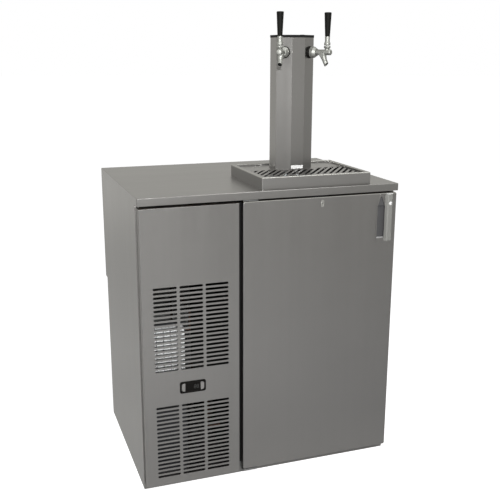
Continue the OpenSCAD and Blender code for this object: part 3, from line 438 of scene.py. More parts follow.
def plate(points, thickness, matrix, corner=0.0, holes=(), edge=0.0, windows=()):
    """A flat plate in XY, from z 0 up to its thickness, with slots and windows cut in it."""
    bm = bmesh.new()
    loop_edges(bm, [(x, y, 0) for x, y in points])
    if corner:
        bmesh.ops.bevel(
            bm, geom=bm.verts, offset=corner, segments=5, profile=0.5, affect="VERTICES", material=-1
        )
    cut_edges(bm, holes, windows)
    bmesh.ops.triangle_fill(bm, use_beauty=True, edges=bm.edges)
    top = bmesh.ops.extrude_face_region(bm, geom=bm.faces[:])["geom"]
    raised = [v for v in top if isinstance(v, bmesh.types.BMVert)]
    bmesh.ops.translate(bm, vec=(0, 0, thickness), verts=raised)
    bmesh.ops.dissolve_limit(bm, angle_limit=0.01, verts=bm.verts, edges=bm.edges)
    if edge:
        rim = [e for e in sharp_edges(bm, 1.0) if abs(e.verts[0].co.z - e.verts[1].co.z) < 0.001]
        round_edges(bm, rim, edge, 2)
    return moved(bm, matrix)


UPRIGHT = Matrix.Rotation(math.pi / 2, 4, "X")


def facing(y):
    """Turns a plate drawn in XY to stand in XZ with its outside towards -Y, at depth y."""
    return at(0, y, 0) @ UPRIGHT @ Matrix.Scale(-1, 4, (0, 0, 1))


def pan(low, high, radius, open_side, holes=(), steps=4, corner=0.0, windows=()):
    """Folded sheet: a box with one side open, rounded folds, and openings in the face opposite."""
    axis, sign = open_side
    bm = block(low, high, corner, "xyz"[axis], 6)
    remove_faces(bm, lambda f: f.normal[axis] * sign > 0.9)
    round_edges(bm, sharp_edges(bm, 1), radius, steps)
    if holes or windows:
        # The large flat face furthest from the open side.
        face = min(bm.faces, key=lambda f: sign * f.calc_center_median()[axis] - f.calc_area() * 0.001)
        rim = face.edges[:]
        depth = face.calc_center_median()[axis]
        bmesh.ops.delete(bm, geom=[face], context="FACES_ONLY")
        cut = cut_edges(bm, holes, windows)
        ring = list({v for e in cut for v in e.verts})
        turn = facing(depth) if axis == 1 else at(0, 0, depth)
        bmesh.ops.transform(bm, matrix=turn, verts=ring)
        bmesh.ops.triangle_fill(bm, use_beauty=True, edges=rim + cut)
    bmesh.ops.recalc_face_normals(bm, faces=bm.faces)
    return thickened(bm)


def thickened(bm):
    """Gives a sheet its thickness on the inner side, whichever way its faces point."""
    before = [min(v.co[i] for v in bm.verts) for i in range(3)]
    trial = bm.copy()
    bmesh.ops.solidify(trial, geom=trial.faces[:], thickness=SHEET)
    after = [min(v.co[i] for v in trial.verts) for i in range(3)]
    trial.free()
    grows = any(b - a > 0.01 * SHEET for a, b in zip(after, before))
    bmesh.ops.solidify(bm, geom=bm.faces[:], thickness=-SHEET if grows else SHEET)
    return bm


# %% [markdown]
# ## Softened copies
# Where the CAD mesh already has the right shape, it is copied. Its triangles are merged into whole
# faces again, and its sharp edges are bevelled, so that each one catches a line of light. A plane can
# then cut a shape, and a hole can be opened in a sheet with two skins.


# %% Softened copies and cuts
def softened(node, radius, steps=2, angle=0.6, wide=None, wide_radius=0.0):
    """A copy of a CAD node's mesh with its triangles merged and its sharp edges broken.

    Edges whose middle satisfies wide() get the wider radius first.
    """
    bm = bmesh.new()
    bm.from_mesh(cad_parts[node].data)
    bmesh.ops.scale(bm, vec=(1 / MM,) * 3, verts=bm.verts)
    bmesh.ops.remove_doubles(bm, verts=bm.verts, dist=0.002)
    bmesh.ops.dissolve_limit(bm, angle_limit=0.005, verts=bm.verts, edges=bm.edges)
    if wide:
        middles = {e: (e.verts[0].co + e.verts[1].co) / 2 for e in sharp_edges(bm, 0.2)}
        round_edges(bm, [e for e, middle in middles.items() if wide(middle, e)], wide_radius, 5)
    if radius:
        round_edges(bm, sharp_edges(bm, angle), radius, steps)
    return bm


def sharp_edges(bm, angle):
    return [e for e in bm.edges if len(e.link_faces) == 2 and e.calc_face_angle() > angle]


def bisected(bm, place, direction, clear=False):
    """Draws the line where a plane cuts a shape, and can clear away what lies beyond it."""
    everything = bm.verts[:] + bm.edges[:] + bm.faces[:]
    return bmesh.ops.bisect_plane(
        bm, geom=everything, plane_co=place, plane_no=direction, clear_outer=clear
    )["geom_cut"]


def sliced(bm, place, direction, fill=True):
    """Cuts away what lies beyond a plane, and closes the cut: with a face, or as a tube's rim."""
    cut = bisected(bm, place, direction, clear=True)
    rim = [e for e in cut if isinstance(e, bmesh.types.BMEdge)]
    if fill:
        bmesh.ops.edgeloop_fill(bm, edges=rim)
    else:
        bmesh.ops.bridge_loops(bm, edges=rim)
    return bm


def open_up(bm, inside):
    """Removes the faces of a hole from both skins of a sheet, and walls the hole between them."""
    remove_faces(bm, lambda f: inside(f.calc_center_median()))
    bmesh.ops.bridge_loops(bm, edges=[e for e in bm.edges if e.is_boundary])


# %% [markdown]
# ## Pieces
# A piece is a mesh in metres with its finish and the body that it moves with. A rolled fold
# looks right only if the faces beside it look flat, so at each corner the shading normal follows the
# largest of the faces that meet there.

# %% Pieces
made = []


def corner_normals(bm, smooth):
    """Shading normals in which a large flat face outweighs the narrow strips of a fold beside it."""
    limit = math.cos(math.radians(smooth))
    weight = {face: face.normal * face.calc_area() for face in bm.faces}
    normals = []
    for face in bm.faces:
        for corner in face.loops:
            near = [f for f in corner.vert.link_faces if f.normal.dot(face.normal) > limit]
            normals.append(sum((weight[f] for f in near), Vector()).normalized())
    return normals


def piece(name, bm, body, material, nodes=(), smooth=40, more=()):
    """Turns a shape in millimetres into an object in metres that rides on a body."""
    bmesh.ops.remove_doubles(bm, verts=bm.verts, dist=0.0005)
    bmesh.ops.recalc_face_normals(bm, faces=bm.faces)
    bm.normal_update()
    normals = corner_normals(bm, smooth)
    bmesh.ops.scale(bm, vec=(MM,) * 3, verts=bm.verts)
    mesh = bpy.data.meshes.new(name)
    bm.to_mesh(mesh)
    bm.free()
    mesh.shade_smooth()
    mesh.normals_split_custom_set(normals)
    for finish in (material, *more):
        mesh.materials.append(finish)
    thing = bpy.data.objects.new(name, mesh)
    bpy.context.scene.collection.objects.link(thing)
    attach(thing, body)
    if nodes:
        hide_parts(*nodes)
    made.append(name)
    return thing


def kept(name, node, body, slot, material, radius, steps=2, angle=0.6, smooth=40):
    """A piece that keeps the shape of its CAD node, with its edges broken by a radius."""
    return piece(name, softened(node, radius, steps, angle), body, material, [node], smooth)


# %% [markdown]
# ## The floor
# The photograph has a plain white ground, lit from behind, and a darker room in front. Brushed metal
# is a blurred mirror, so that room is what gives each face its grey: the left side and the counter
# mirror the white ground, and the door mirrors the floor in front. The floor is white to camera rays.
# For the rays that metal sends out, its brightness changes from front to back and from side to side,
# by two colour ramps. It stays a real surface, so it keeps the shadow.

# %% Floor
FLOOR_RADIUS, FLOOR_DROP = 40, 0.0005
floor_mesh = bmesh.new()
bmesh.ops.create_circle(floor_mesh, cap_ends=True, segments=64, radius=FLOOR_RADIUS)
floor_data = bpy.data.meshes.new("floor")
floor_mesh.to_mesh(floor_data)
floor_mesh.free()
floor = bpy.data.objects.new("floor", floor_data)
bpy.context.scene.collection.objects.link(floor)
floor.location.z = -FLOOR_DROP
floor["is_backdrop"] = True

CAMERA_GLOW = 0.86
floor_finish = Finish("pale_floor", (0.5, 0.5, 0.5), 0.9, Specular_IOR_Level=0.0)
to_camera, to_metal = floor_finish.ray("Camera"), floor_finish.ray("Glossy")
depth = floor_finish.node("SeparateXYZ", {}, {0: floor_finish.point}, "Y")
aside = floor_finish.node("SeparateXYZ", {}, {0: floor_finish.point}, "X")
backness = floor_finish.node("MapRange", {}, {"Value": depth, "From Min": -5.0, "From Max": 6.0})
rightness = floor_finish.node("MapRange", {}, {"Value": aside, "From Min": -6.0, "From Max": 8.0})
room_light = [
    (0.0, 0.42), (0.18, 0.32), (0.31, 0.14), (0.4, 0.08), (0.47, 0.3), (0.6, 0.36), (0.7, 0.4),
    (0.89, 0.74),
]
lit = floor_finish.node("ValToRGB", {"stops": room_light}, {"Fac": backness})
SIDE_BASE = 0.15
side_light = [
    (0.0, 0.04), (0.35, SIDE_BASE), (0.4, 0.17), (0.44, 0.11), (0.475, 0.08), (0.54, 0.1), (0.63, 0.16),
    (1.0, 0.28),
]
aslant = floor_finish.node("ValToRGB", {"stops": side_light}, {"Fac": rightness})
strength = to_camera * CAMERA_GLOW + to_metal * (lit + aslant - SIDE_BASE)
glow = floor_finish.node("Emission", {}, {"Color": floor_finish.warmed(to_metal), "Strength": strength})
diffuse = Value(floor_finish, floor_finish.shader.outputs[0])
both = floor_finish.node("AddShader", {}, {0: diffuse, 1: glow})
floor_finish.set("Surface", both, floor_finish.tree.nodes["Material Output"])
floor.data.materials.append(floor_finish.material)

# %% [markdown]
# ## The world and the lamps
# The world is white to camera rays too, and for metal a little brighter at the back and on the left.
# A small area lamp near the camera is the flash. It is wide but low, so that each slot's lit strip on
# the fins behind has a sharp edge. A soft one overhead and one on the left light the folds.

# %% World and lamps
world = bpy.data.worlds.new("studio")
bpy.context.scene.world = world
room = Graph(world)
AMBIENT, SKYWARD = 0.25, 0.1
direction = room.node("TexCoord", {}, {}, "Generated")
backwards = room.node("SeparateXYZ", {}, {0: direction}, "Y")
rightwards = room.node("SeparateXYZ", {}, {0: direction}, "X")
upwards = room.node("SeparateXYZ", {}, {0: direction}, "Z")
to_eye, to_metal = room.ray("Camera"), room.ray("Glossy")
mirrored = 0.72 + backwards * 0.07 - rightwards * 0.05
level = to_eye + to_metal * mirrored + (1 - to_eye - to_metal) * (AMBIENT + upwards * SKYWARD)
backdrop = room.node("Background", {}, {"Color": room.warmed(to_metal), "Strength": level})
room.set("Surface", backdrop, room.tree.nodes["World Output"])


def lamp(name, place, target, size, power):
    light = bpy.data.lights.new(name, "AREA")
    light.shape = "RECTANGLE"
    light.size, light.size_y = size
    light.energy = power
    holder = bpy.data.objects.new(name, light)
    bpy.context.scene.collection.objects.link(holder)
    holder.location = place
    holder.rotation_mode = "QUATERNION"
    holder.rotation_quaternion = (Vector(target) - Vector(place)).to_track_quat("-Z", "Y")
    return holder


lamp("overhead_softbox", (0.9, -0.7, 3.3), (0.1, -0.1, 0.9), (0.9, 0.6), 26)
lamp("left_softbox", (-3.2, -0.6, 1.7), (0, 0, 0.7), (1.2, 1.6), 12)
flash = lamp("flash", (-0.74, -2.6, 1.765), (0, 0, 0.6), (0.2, 0.03), 80)

# %% [markdown]
# ## The counter
# One sheet folded down on all four sides, with soft folds of about 2 mm. At the front it is folded
# once more, inwards, so that no raw edge can be felt. The drip tray drops into a cut-out. The front
# fold is a piece of its own, because light linking works on whole objects: the flash lights it as it
# lights the door, but is kept off the flat top, which its glare would hide from anyone behind.

# %% Counter
top_low, top_high = span("counter_top")
tray_low, tray_high = span("drip_tray")
column_low, column_high = span("tower_column")
tower_x = (column_low.x + column_high.x) / 2

FOLD_RADIUS, SEAM, OVERLAP = 2.2, 4, 0.5
LIP_START, LIP_END, LIP_SHORT = 0.6, 15, 2
tray_cut = box_corners(
    tray_low.x + OVERLAP, tray_low.y + OVERLAP, tray_high.x - OVERLAP, tray_high.y - OVERLAP
)
top = pan(top_low, top_high, FOLD_RADIUS, (2, -1), steps=5, windows=[tray_cut])
lip = block(
    (top_low.x + LIP_SHORT, top_low.y + LIP_START, top_low.z),
    (top_high.x - LIP_SHORT, top_low.y + LIP_END, top_low.z + SHEET), 0.3,
)
seam = (0, top_low.y + SEAM, 0)
fascia = sliced(top.copy(), seam, (0, 1, 0))
piece("counter_fascia", join(fascia, lip), "cabinet", steel_across)
rest = sliced(top, seam, (0, -1, 0))
counter = piece("counter_sheet", rest, "cabinet", steel_across, ["counter_top"])
spared = bpy.data.collections.new("spared_by_flash")
spared.objects.link(counter)
spared.collection_objects[0].light_linking.link_state = "EXCLUDE"
flash.light_linking.receiver_collection = spared
kept("counter_core", "counter_deck", "cabinet", "plywood", plywood, 0.5)
print("counter", [round(v) for v in top_high - top_low], "mm")

# %% [markdown]
# ## The cabinet's sheets
# The two sides, the back with its duct cover and punched guard, the wall of the machine compartment
# and the base tray are flat sheets with folded edges. They keep the CAD shapes, with every edge
# broken by a small radius, which is what catches the light on real sheet metal. The strip beside the
# door is black down to its foot, a black strip that is also painted shade in the groove beside the
# door. There a plane cuts it so that the last few centimetres can be bare. The wall of the machine
# compartment is black too, painted shade behind the louvres.

# %% Cabinet sheets
sheets = [
    ("side_sheet_left", "left_side_panel", "stainless", steel_upright, 0.5),
    ("side_sheet_right", "right_side_panel", "stainless", steel_upright, 0.5),
    ("back_sheet", "rear_panel", "zinc", zinc, 0.3),
    ("duct_cover", "rear_duct_cover", "stainless", steel_upright, 0.5),
    ("outlet_guard", "rear_grille", "zinc", zinc, 0.4),
    # The machine wall is black, painted shade behind the louvres.
    ("machine_partition", "machine_wall", "zinc", black_and_painted_shade, 0.3),
    ("cabinet_insulation", "foam_shell", "foam", foam, 0),
    ("base_tray", "base_pan", "zinc", steel_upright, 0.4),
]
for name, node, slot, material, radius in sheets:
    kept(name, node, "cabinet", slot, material, radius)

# The strip is black, partly as painted shade in the groove beside the door, and bare zinc at its foot.
strip = softened("mullion_strip", 0.3)
STRIP_END = 37
bisected(strip, (0, 0, STRIP_END), (0, 0, 1))
for face in strip.faces:
    face.material_index = face.calc_center_median().z < STRIP_END
piece("door_side_strip", strip, "cabinet", black_and_painted_shade, ["mullion_strip"], more=[zinc])

# %% [markdown]
# ## The louvred panel
# The panel is a pan 27 mm deep, and its slots are punched with round ends, in two fields above and
# below the controller. A slot is two halves of a small circle drawn apart, and one triangle fill
# between all the outlines makes the sheet around them. Thickness comes last, so every slot gets the
# edge of a real sheet. A field is given by the height of its lowest row and its number of rows.

# %% Louvred panel
panel_low, panel_high = span("compressor_panel")
panel_x = (panel_low.x + panel_high.x) / 2
case_low, case_high = span("controller_case")
case = (case_low + case_high) / 2
SLOT_W, SLOT_H, SLOT_PITCH, SLOT_GAP = 70, 7.4, 13.2, 7.8
PANEL_FOLD, CUT_MARGIN_W, CUT_MARGIN_H = 2.0, 9, 8
FIELDS = [(390.2, 20), (48.2, 18)]
slots = [
    (panel_x + column * (SLOT_W + SLOT_GAP), start + row * SLOT_PITCH, SLOT_W, SLOT_H)
    for start, rows in FIELDS
    for row in range(rows)
    for column in (-1, 0, 1)
]
cut_w = case_high.x - case_low.x - CUT_MARGIN_W
cut_h = case_high.z - case_low.z - CUT_MARGIN_H
cut_out = (case.x, case.z, cut_w, cut_h, 0, 12)
panel = pan(panel_low, panel_high, PANEL_FOLD, (1, 1), holes=slots + [cut_out])
piece("louvred_panel", panel, "cabinet", steel_upright, ["compressor_panel"], 30)
print("slots:", len(slots))

# %% [markdown]
# ## The controller
# A black front with soft corners, a glossy window that stands a little proud of it, and two grey keys
# shaped like a D in slots with round ends. The display is off: the bars of its two small digits are
# only just visible.

# %% Controller front
front_y = case_low.y
FRONT_T, FRONT_CORNER, CASE_IN_X, CASE_IN_Z = 1.6, 6.0, 4.8, 4.3
KEY_SLOT_H, KEY_SLOT_W, KEY_CORNER = 25, 11.4, 6.5
GLASS_HALF_W, GLASS_HALF_H = 20, 12
DIGITS_X, DIGIT_SIDE = 10.5, 4.2
BARS = [(0, up, 4, 1) for up in (5.4, 0, -5.4)]
BARS += [(across, up, 1, 4.4) for up in (2.7, -2.7) for across in (-2.6, 2.6)]

half_w, half_h = (case_high.x - case_low.x) / 2, (case_high.z - case_low.z) / 2
keys = {side: span("button_" + side) for side in ("left", "right")}
key_slots = [
    ((low.x + high.x) / 2 - case.x, 0, KEY_SLOT_H, KEY_SLOT_W, math.pi / 2, 20)
    for low, high in keys.values()
]
bezel = plate(
    box_corners(-half_w, -half_h, half_w, half_h), FRONT_T,
    at(case.x, 0, case.z) @ facing(front_y), FRONT_CORNER, edge=0.6, holes=key_slots,
)
body = block(
    (case_low.x + CASE_IN_X, front_y + FRONT_T, case_low.z + CASE_IN_Z),
    (case_high.x - CASE_IN_X, case_high.y, case_high.z - CASE_IN_Z), 1,
)
piece("controller", join(bezel, body), "cabinet", black_plastic, ["controller_case"])
glass = block(
    (case.x - GLASS_HALF_W, front_y - 0.35, case.z - GLASS_HALF_H),
    (case.x + GLASS_HALF_W, front_y + 0.4, case.z + GLASS_HALF_H), 0.3,
)
piece("controller_window", glass, "cabinet", window)
bars = bmesh.new()
for digit in (-DIGIT_SIDE, DIGIT_SIDE):
    for across, up, w, h in BARS:
        x, z = case.x + DIGITS_X + digit + across, case.z + up
        bar = block((x - w / 2, front_y - 0.5, z - h / 2), (x + w / 2, front_y - 0.3, z + h / 2))
        join(bars, bar)
piece("display_bars", bars, "cabinet", digit_off)
for side, sign in (("left", -1), ("right", 1)):
    low, high = keys[side]
    key = block(low, high)
    middle = (low.x + high.x) / 2
    outer = [e for e in key.edges if along(e) == "y" and (e.verts[0].co.x - middle) * sign > 0]
    round_edges(key, outer, KEY_CORNER, 6)
    rim = [e for e in sharp_edges(key, 1.2) if max(v.co.y for v in e.verts) < low.y + 0.01]
    round_edges(key, rim, 0.7, 3)
    piece("key_" + side, key, side + "_button", key_grey, ["button_" + side])

# %% [markdown]
# ## The door
# A pan of brushed sheet over foam, with a lining that bulges into the chamber and a soft gasket. The
# pan has openings for the pull's finger pocket and the lock, and in its top fold a slot through which
# the lock's tongue turns up. The top fold is much brighter than the door, a painted highlight. Its
# corners are rounded, so the foam and the lining lose theirs.

# %% Door skin
door_low, door_high = span("door_shell")
lock_low, lock_high = span("lock_housing")
lock = (lock_low + lock_high) / 2
pull_low, pull_high = span("door_handle")
skin_y = door_low.y
DOOR_CORNER, DOOR_FOLD, LOCK_HOLE = 5.5, 2.6, 9.8
POCKET_W, POCKET_H, POCKET_TAPER = 25, 101, 30
pocket_x0 = pull_low.x + 3
pocket_x1 = pocket_x0 + POCKET_W
pocket_z0 = pull_low.z + 8
pocket_z1 = pocket_z0 + POCKET_H
pocket_tip = pocket_z1 + POCKET_TAPER
pocket = [
    (pocket_x0 - 1, pocket_z0 - 1), (pocket_x1 + 8, pocket_z0 - 1), (pocket_x1 + 8, pocket_z1 + 1),
    (pocket_x1 + 1, pocket_z1 + 1), (pocket_x1 - 10, pocket_tip), (pocket_x0 + 10, pocket_tip),
    (pocket_x0 - 1, pocket_z1 + 1),
]
lock_hole = (lock.x, lock.z, LOCK_HOLE, LOCK_HOLE, 0, 32)
door = pan(
    door_low, door_high, DOOR_FOLD, (1, 1), corner=DOOR_CORNER, holes=[lock_hole], windows=[pocket]
)
cam_low, cam_high = span("lock_cam")
cam_half = (cam_high.z - cam_low.z) / 2
slot_low = Vector((lock.x - cam_half - 2, cam_low.y - 1, door_high.z - 2))
slot_high = Vector((cam_high.x - 3, cam_high.y + 1, door_high.z + 1))
for place in (slot_low, slot_high):
    for direction in ((1, 0, 0), (0, 1, 0)):
        lid = [f for f in door.faces if abs(f.normal.z) > 0.99 and f.calc_center_median().z > slot_low.z]
        lid += [e for f in lid for e in f.edges] + [v for f in lid for v in f.verts]
        bmesh.ops.bisect_plane(door, geom=list(set(lid)), plane_co=place, plane_no=direction)
open_up(door, lambda c: all(a < b < d for a, b, d in zip(slot_low, c, slot_high)))
# The strips of the top fold get the bright steel: a painted highlight.
for face in door.faces:
    face.material_index = 0.15 < face.normal.z < 0.97 and face.calc_center_median().z > door_high.z - 3
piece("door_skin", door, "door", steel_upright, ["door_shell"], 30, more=[steel_painted_highlight])


def without_corners(node, radius):
    """A softened panel without its four corners, to lie inside the rounded skin."""
    bm = softened(node, radius)
    low, high = span(node)
    for x, side in ((low.x, -1), (high.x, 1)):
        for z, up in ((low.z, -1), (high.z, 1)):
            sliced(bm, (x - side * DOOR_CORNER, 0, z), (side, 0, up))
    return bm


filling = without_corners("door_foam", 0)
piece("door_insulation", filling, "door", foam, ["door_foam"])
back = without_corners("door_liner", 1.0)
piece("door_lining", back, "door", white_enamel, ["door_liner"])
kept("door_seal", "door_gasket", "door", "rubber", rubber, 0.8)
print("door skin", [round(v) for v in door_high - door_low])

# %% [markdown]
# ## The pull
# The pull is pressed from one sheet: a pocket for the fingers, tapered at its top, and a rib that
# stands 11 mm out beside it. The long edges of the rib and its top are rolled to 2.6 mm and the rest
# to 0.6 mm. The inside of the pocket is painted dark, as painted shade. The ledge at its foot and the
# top of the rib are painted pale, as painted highlights. The sheet around it is brushed like the door.
# A screw holds the rib near its top, under a small domed cap.

# %% Pull
def on_rib(middle, edge):
    upright = along(edge) == "z" and middle.y < skin_y - 3
    return middle.x > pocket_x1 + 2 and (upright or middle.z > pull_high.z - 0.1 and middle.y < skin_y - 2)


POCKET_PAINTED_SHADE, PULL_PAINTED_HIGHLIGHT, BRUSHED = 1, 2, 3
CAP_ACROSS, CAP_DOWN = 14, 30
pull = softened("door_handle", 0.6, 3, wide_radius=2.6, wide=on_rib)
# Painted shade inside the pocket, and painted highlights on its ledge and on the top of the rib.
for face in pull.faces:
    middle = face.calc_center_median()
    if middle.y > skin_y + 0.3 and middle.x < pocket_x1 + 12:
        face.material_index = PULL_PAINTED_HIGHLIGHT if face.normal.z > 0.7 and middle.z < pocket_z0 + 3 else POCKET_PAINTED_SHADE
    elif face.normal.z > 0.25 and middle.z > pull_high.z - 4 and middle.x > pocket_x1:
        face.material_index = PULL_PAINTED_HIGHLIGHT
    elif middle.x < pocket_x1 - 1:
        face.material_index = BRUSHED
finishes = [pocket_shade_grey, pale_grey_and_painted_light, steel_upright]
piece("pull_handle", pull, "door", satin_grip, ["door_handle"], 35, more=finishes)
screw_cap = lathe(
    [(0, 2.4), (2.5, 2.1), (4.6, 1.3), (5.6, 0.3), (5.6, -1), (0, -1), (0, 2.4)],
    at(pocket_x1 + CAP_ACROSS, pull_low.y + 0.9, pull_high.z - CAP_DOWN) @ UPRIGHT, 32,
)
piece("pull_screw_cap", screw_cap, "door", pale_grey_and_painted_light)

# %% [markdown]
# ## The lock and the hinges
# The lock is a plain cylinder with a thin flange, on a small oval plate, and its plug has a slot for
# the key. Its tongue, the strike and the hinges keep their CAD shapes with broken edges.

# %% Lock and hinges
LOCK_RING = [
    (3.8, -8.5), (4.6, -8.5), (4.6, 0), (5.4, 0), (5.5, 0.4), (5.1, 0.8), (4.2, 0.9), (3.8, 0.6),
    (3.8, -8.5),
]
lock_ring = lathe(LOCK_RING, at(lock.x, skin_y, lock.z) @ UPRIGHT, 32)
piece("lock_ring", lock_ring, "door", satin_steel_and_rim_highlight, ["lock_housing"])
kept("lock_barrel", "lock_plug", "lock", "chrome", satin_steel_and_rim_highlight, 0.2)
SLOT_HALF_W, SLOT_HALF_H = 0.7, 2.6
# The key slot is a black block, painted shade in the keyway.
keyway_shade = block(
    (lock.x - SLOT_HALF_W, skin_y - 1.15, lock.z - SLOT_HALF_H),
    (lock.x + SLOT_HALF_W, skin_y + 1, lock.z + SLOT_HALF_H), 0.2,
)
piece("keyway_shade", keyway_shade, "lock", black_and_painted_shade)
PLATE_HALF_W, PLATE_HALF_H, PLATE_T, PLATE_CORNER, PLATE_HOLE = 5, 11, 0.7, 4.9, 9.4
escutcheon = plate(
    box_corners(-PLATE_HALF_W, -PLATE_HALF_H, PLATE_HALF_W, PLATE_HALF_H), PLATE_T,
    at(lock.x, 0, lock.z) @ facing(skin_y - PLATE_T), PLATE_CORNER,
    holes=[(0, 0, PLATE_HOLE, PLATE_HOLE, 0, 32)], edge=0.3,
)
piece("lock_escutcheon", escutcheon, "door", satin_steel_and_rim_highlight)
fittings = [
    ("lock_tongue", "lock_cam", "lock", "zinc", zinc),
    # The strike is black, painted shade in the gap above the door.
    ("strike", "strike_plate", "cabinet", "zinc", black_and_painted_shade),
    ("upper_hinge", "hinge_bracket_top", "cabinet", "zinc", zinc),
    ("lower_hinge", "hinge_bracket_bottom", "cabinet", "zinc", zinc),
    ("hinge_bushes", "hinge_bushings", "door", "black_plastic", black_plastic),
]
for row in fittings:
    kept(*row, 0.35)

# %% [markdown]
# ## The chamber
# The lining is one white-lacquered box. Around its mouth, where the door's seal lands, a black frame
# takes the place of the lining's own flange. It is a breaker frame, and its black is also painted
# shade, which makes the gap above the closed door the darkest line of the cabinet.

# %% Chamber
liner_low, liner_high = span("chamber_liner")
lining = softened("chamber_liner", 0.5)
walls = [v.co for v in lining.verts if v.co.y > liner_low.y + 5]
REVEAL = 0.8
chamber = box_corners(
    min(w.x for w in walls) + REVEAL, min(w.z for w in walls) + REVEAL,
    max(w.x for w in walls) - REVEAL, max(w.z for w in walls) - REVEAL,
)
remove_faces(lining, lambda f: all(v.co.y < liner_low.y + 1.3 for v in f.verts))
piece("chamber_lining", lining, "cabinet", white_enamel, ["chamber_liner"])
outline = box_corners(liner_low.x, liner_low.z, liner_high.x, liner_high.z)
# The black frame is painted shade in the gap around the door.
breaker = plate(outline, SHEET, facing(liner_low.y), windows=[chamber])
piece("door_frame", breaker, "cabinet", black_and_painted_shade)

# %% [markdown]
# ## The cooling machine
# Behind the louvres are the condenser, its fan and the compressor, and in the chamber hangs the
# evaporator. They show only through slots or with the door open, so they keep the CAD shapes with
# broken edges. The condenser gets real fins, because their edges are the bright stripes behind the
# slots: six groups of eight, with a gap after each, on ten black tubes. The tubes and the fan's
# shroud are black as painted shade, so the gaps and the compartment behind the slots stay dark.

# %% Machine
machine = [
    ("evaporator_case", "evaporator_housing", "cabinet", "white_liner", white_enamel, 0.6),
    ("evaporator_fins", "evaporator_coil", "cabinet", "fins", fins, 0),
    ("evaporator_fan_motor", "evaporator_motor", "cabinet", "black_steel", black_paint_and_painted_shade, 0.8),
    ("evaporator_blades", "evaporator_fan", "evaporator_rotor", "black_plastic", black_plastic, 0),
    ("compressor_shell", "compressor", "cabinet", "black_steel", black_paint_and_painted_shade, 2.0),
    ("compressor_mounts", "compressor_feet", "cabinet", "rubber", rubber, 0.5),
    ("terminal_cover", "terminal_box", "cabinet", "black_plastic", black_plastic, 2.0),
    # The shroud is black, painted shade behind the louvres.
    ("condenser_shroud", "fan_shroud", "cabinet", "zinc", black_paint_and_painted_shade, 0.4),
    ("condenser_fan_motor", "condenser_motor", "cabinet", "black_steel", black_paint_and_painted_shade, 0.8),
    ("condenser_blades", "condenser_fan", "condenser_rotor", "fins", fins, 0),
    ("drier", "filter_drier", "cabinet", "copper", copper, 0.6),
    ("cooling_pipes", "refrigerant_lines", "cabinet", "copper", copper, 0),
    ("drain_pipe", "drain_tailpiece", "cabinet", "chrome", chrome, 0.4),
    ("beer_hoses", "beer_lines", "cabinet", "hose", hose_clear, 0.3),
    ("shank_pipes", "shanks", "cabinet", "brass", brass, 0.2),
    ("shank_lock_nuts", "shank_nuts", "cabinet", "brass", brass, 0.5),
]
for row in machine:
    kept(*row)

coil_low, coil_high = span("condenser_coil")
GROUPS, FINS, FIN_T, FIN_STEP, GROUP_STEP, COIL_END = 6, 8, 2.0, 2.4, 22, 8.8
TUBE_ROWS, TUBE_STEP, TUBE_FOOT, TUBE_R, TUBE_DEPTHS = 5, 27, 17, 4.8, (10, 30)
coil = bmesh.new()
for group in range(GROUPS):
    for k in range(FINS):
        x = coil_low.x + COIL_END + group * GROUP_STEP + k * FIN_STEP
        join(coil, block((x, coil_low.y, coil_low.z), (x + FIN_T, coil_high.y, coil_high.z)))
for row in range(TUBE_ROWS):
    for y in TUBE_DEPTHS:
        z = coil_low.z + TUBE_FOOT + row * TUBE_STEP
        tube = rod((coil_low.x, coil_low.y + y, z), (coil_high.x, coil_low.y + y, z), TUBE_R, 16)
        # The tubes are black, painted shade between the fin groups.
        for face in tube.faces:
            face.material_index = 1
        join(coil, tube)
piece("condenser", coil, "cabinet", fins, ["condenser_coil"], more=[black_paint_and_painted_shade])

# %% [markdown]
# ## The drip tray
# The tray is one face drawn down: a block without a bottom, its top face inset by the width of the
# rim and then pushed down to the floor of the basin. The outer edges and the mouth are rolled, and
# the folds around the floor are tight. The folds of the rim get a brighter finish, a painted
# highlight. The floor under the grate is pale, painted light in the shade below the grate. The
# platform that carries the tower stands in the tray, flush with the grate, whose slots lean so that
# the foot of a glass never drops into one.


# %% Drip tray
FLOOR_FOLD, MOUTH_FOLD, OUTER_FOLD = 1.0, 2.2, 2.6
RIM_PAINTED_HIGHLIGHT, BASIN_PAINTED_LIGHT = 1, 2


def drawn_tray(low, high, rim, floor_z):
    """The tray as a sheet: outer walls, a rim, and a basin down to the height of its floor."""
    bm = block(low, high)
    remove_faces(bm, lambda f: f.normal.z < -0.9)
    outer = sharp_edges(bm, 1)
    top = max(bm.faces, key=lambda f: f.normal.z)
    bmesh.ops.inset_region(bm, faces=[top], thickness=rim, use_even_offset=True)
    mouth = {v.co.to_tuple(3) for v in top.verts}
    sunk = bmesh.ops.extrude_face_region(bm, geom=[top])["geom"]
    bmesh.ops.delete(bm, geom=[top], context="FACES_ONLY")
    floor_verts = [v for v in sunk if isinstance(v, bmesh.types.BMVert)]
    bmesh.ops.translate(bm, vec=(0, 0, floor_z - high.z), verts=floor_verts)
    around_floor = {e for v in floor_verts for e in v.link_edges}
    rolled = [e for e in bm.edges if all(v.co.to_tuple(3) in mouth for v in e.verts)]
    level = [e for e in around_floor if e.verts[0].co.z == e.verts[1].co.z]
    for edges, radius, steps in ((level, FLOOR_FOLD, 3), (rolled, MOUTH_FOLD, 5), (outer, OUTER_FOLD, 5)):
        round_edges(bm, [e for e in edges if e.is_valid], radius, steps)
    return thickened(bm)


grate_low = span("drip_grate")[0]
RIM = grate_low.x - tray_low.x - 1
tray = drawn_tray(tray_low, tray_high, RIM, grate_low.z - 0.1)
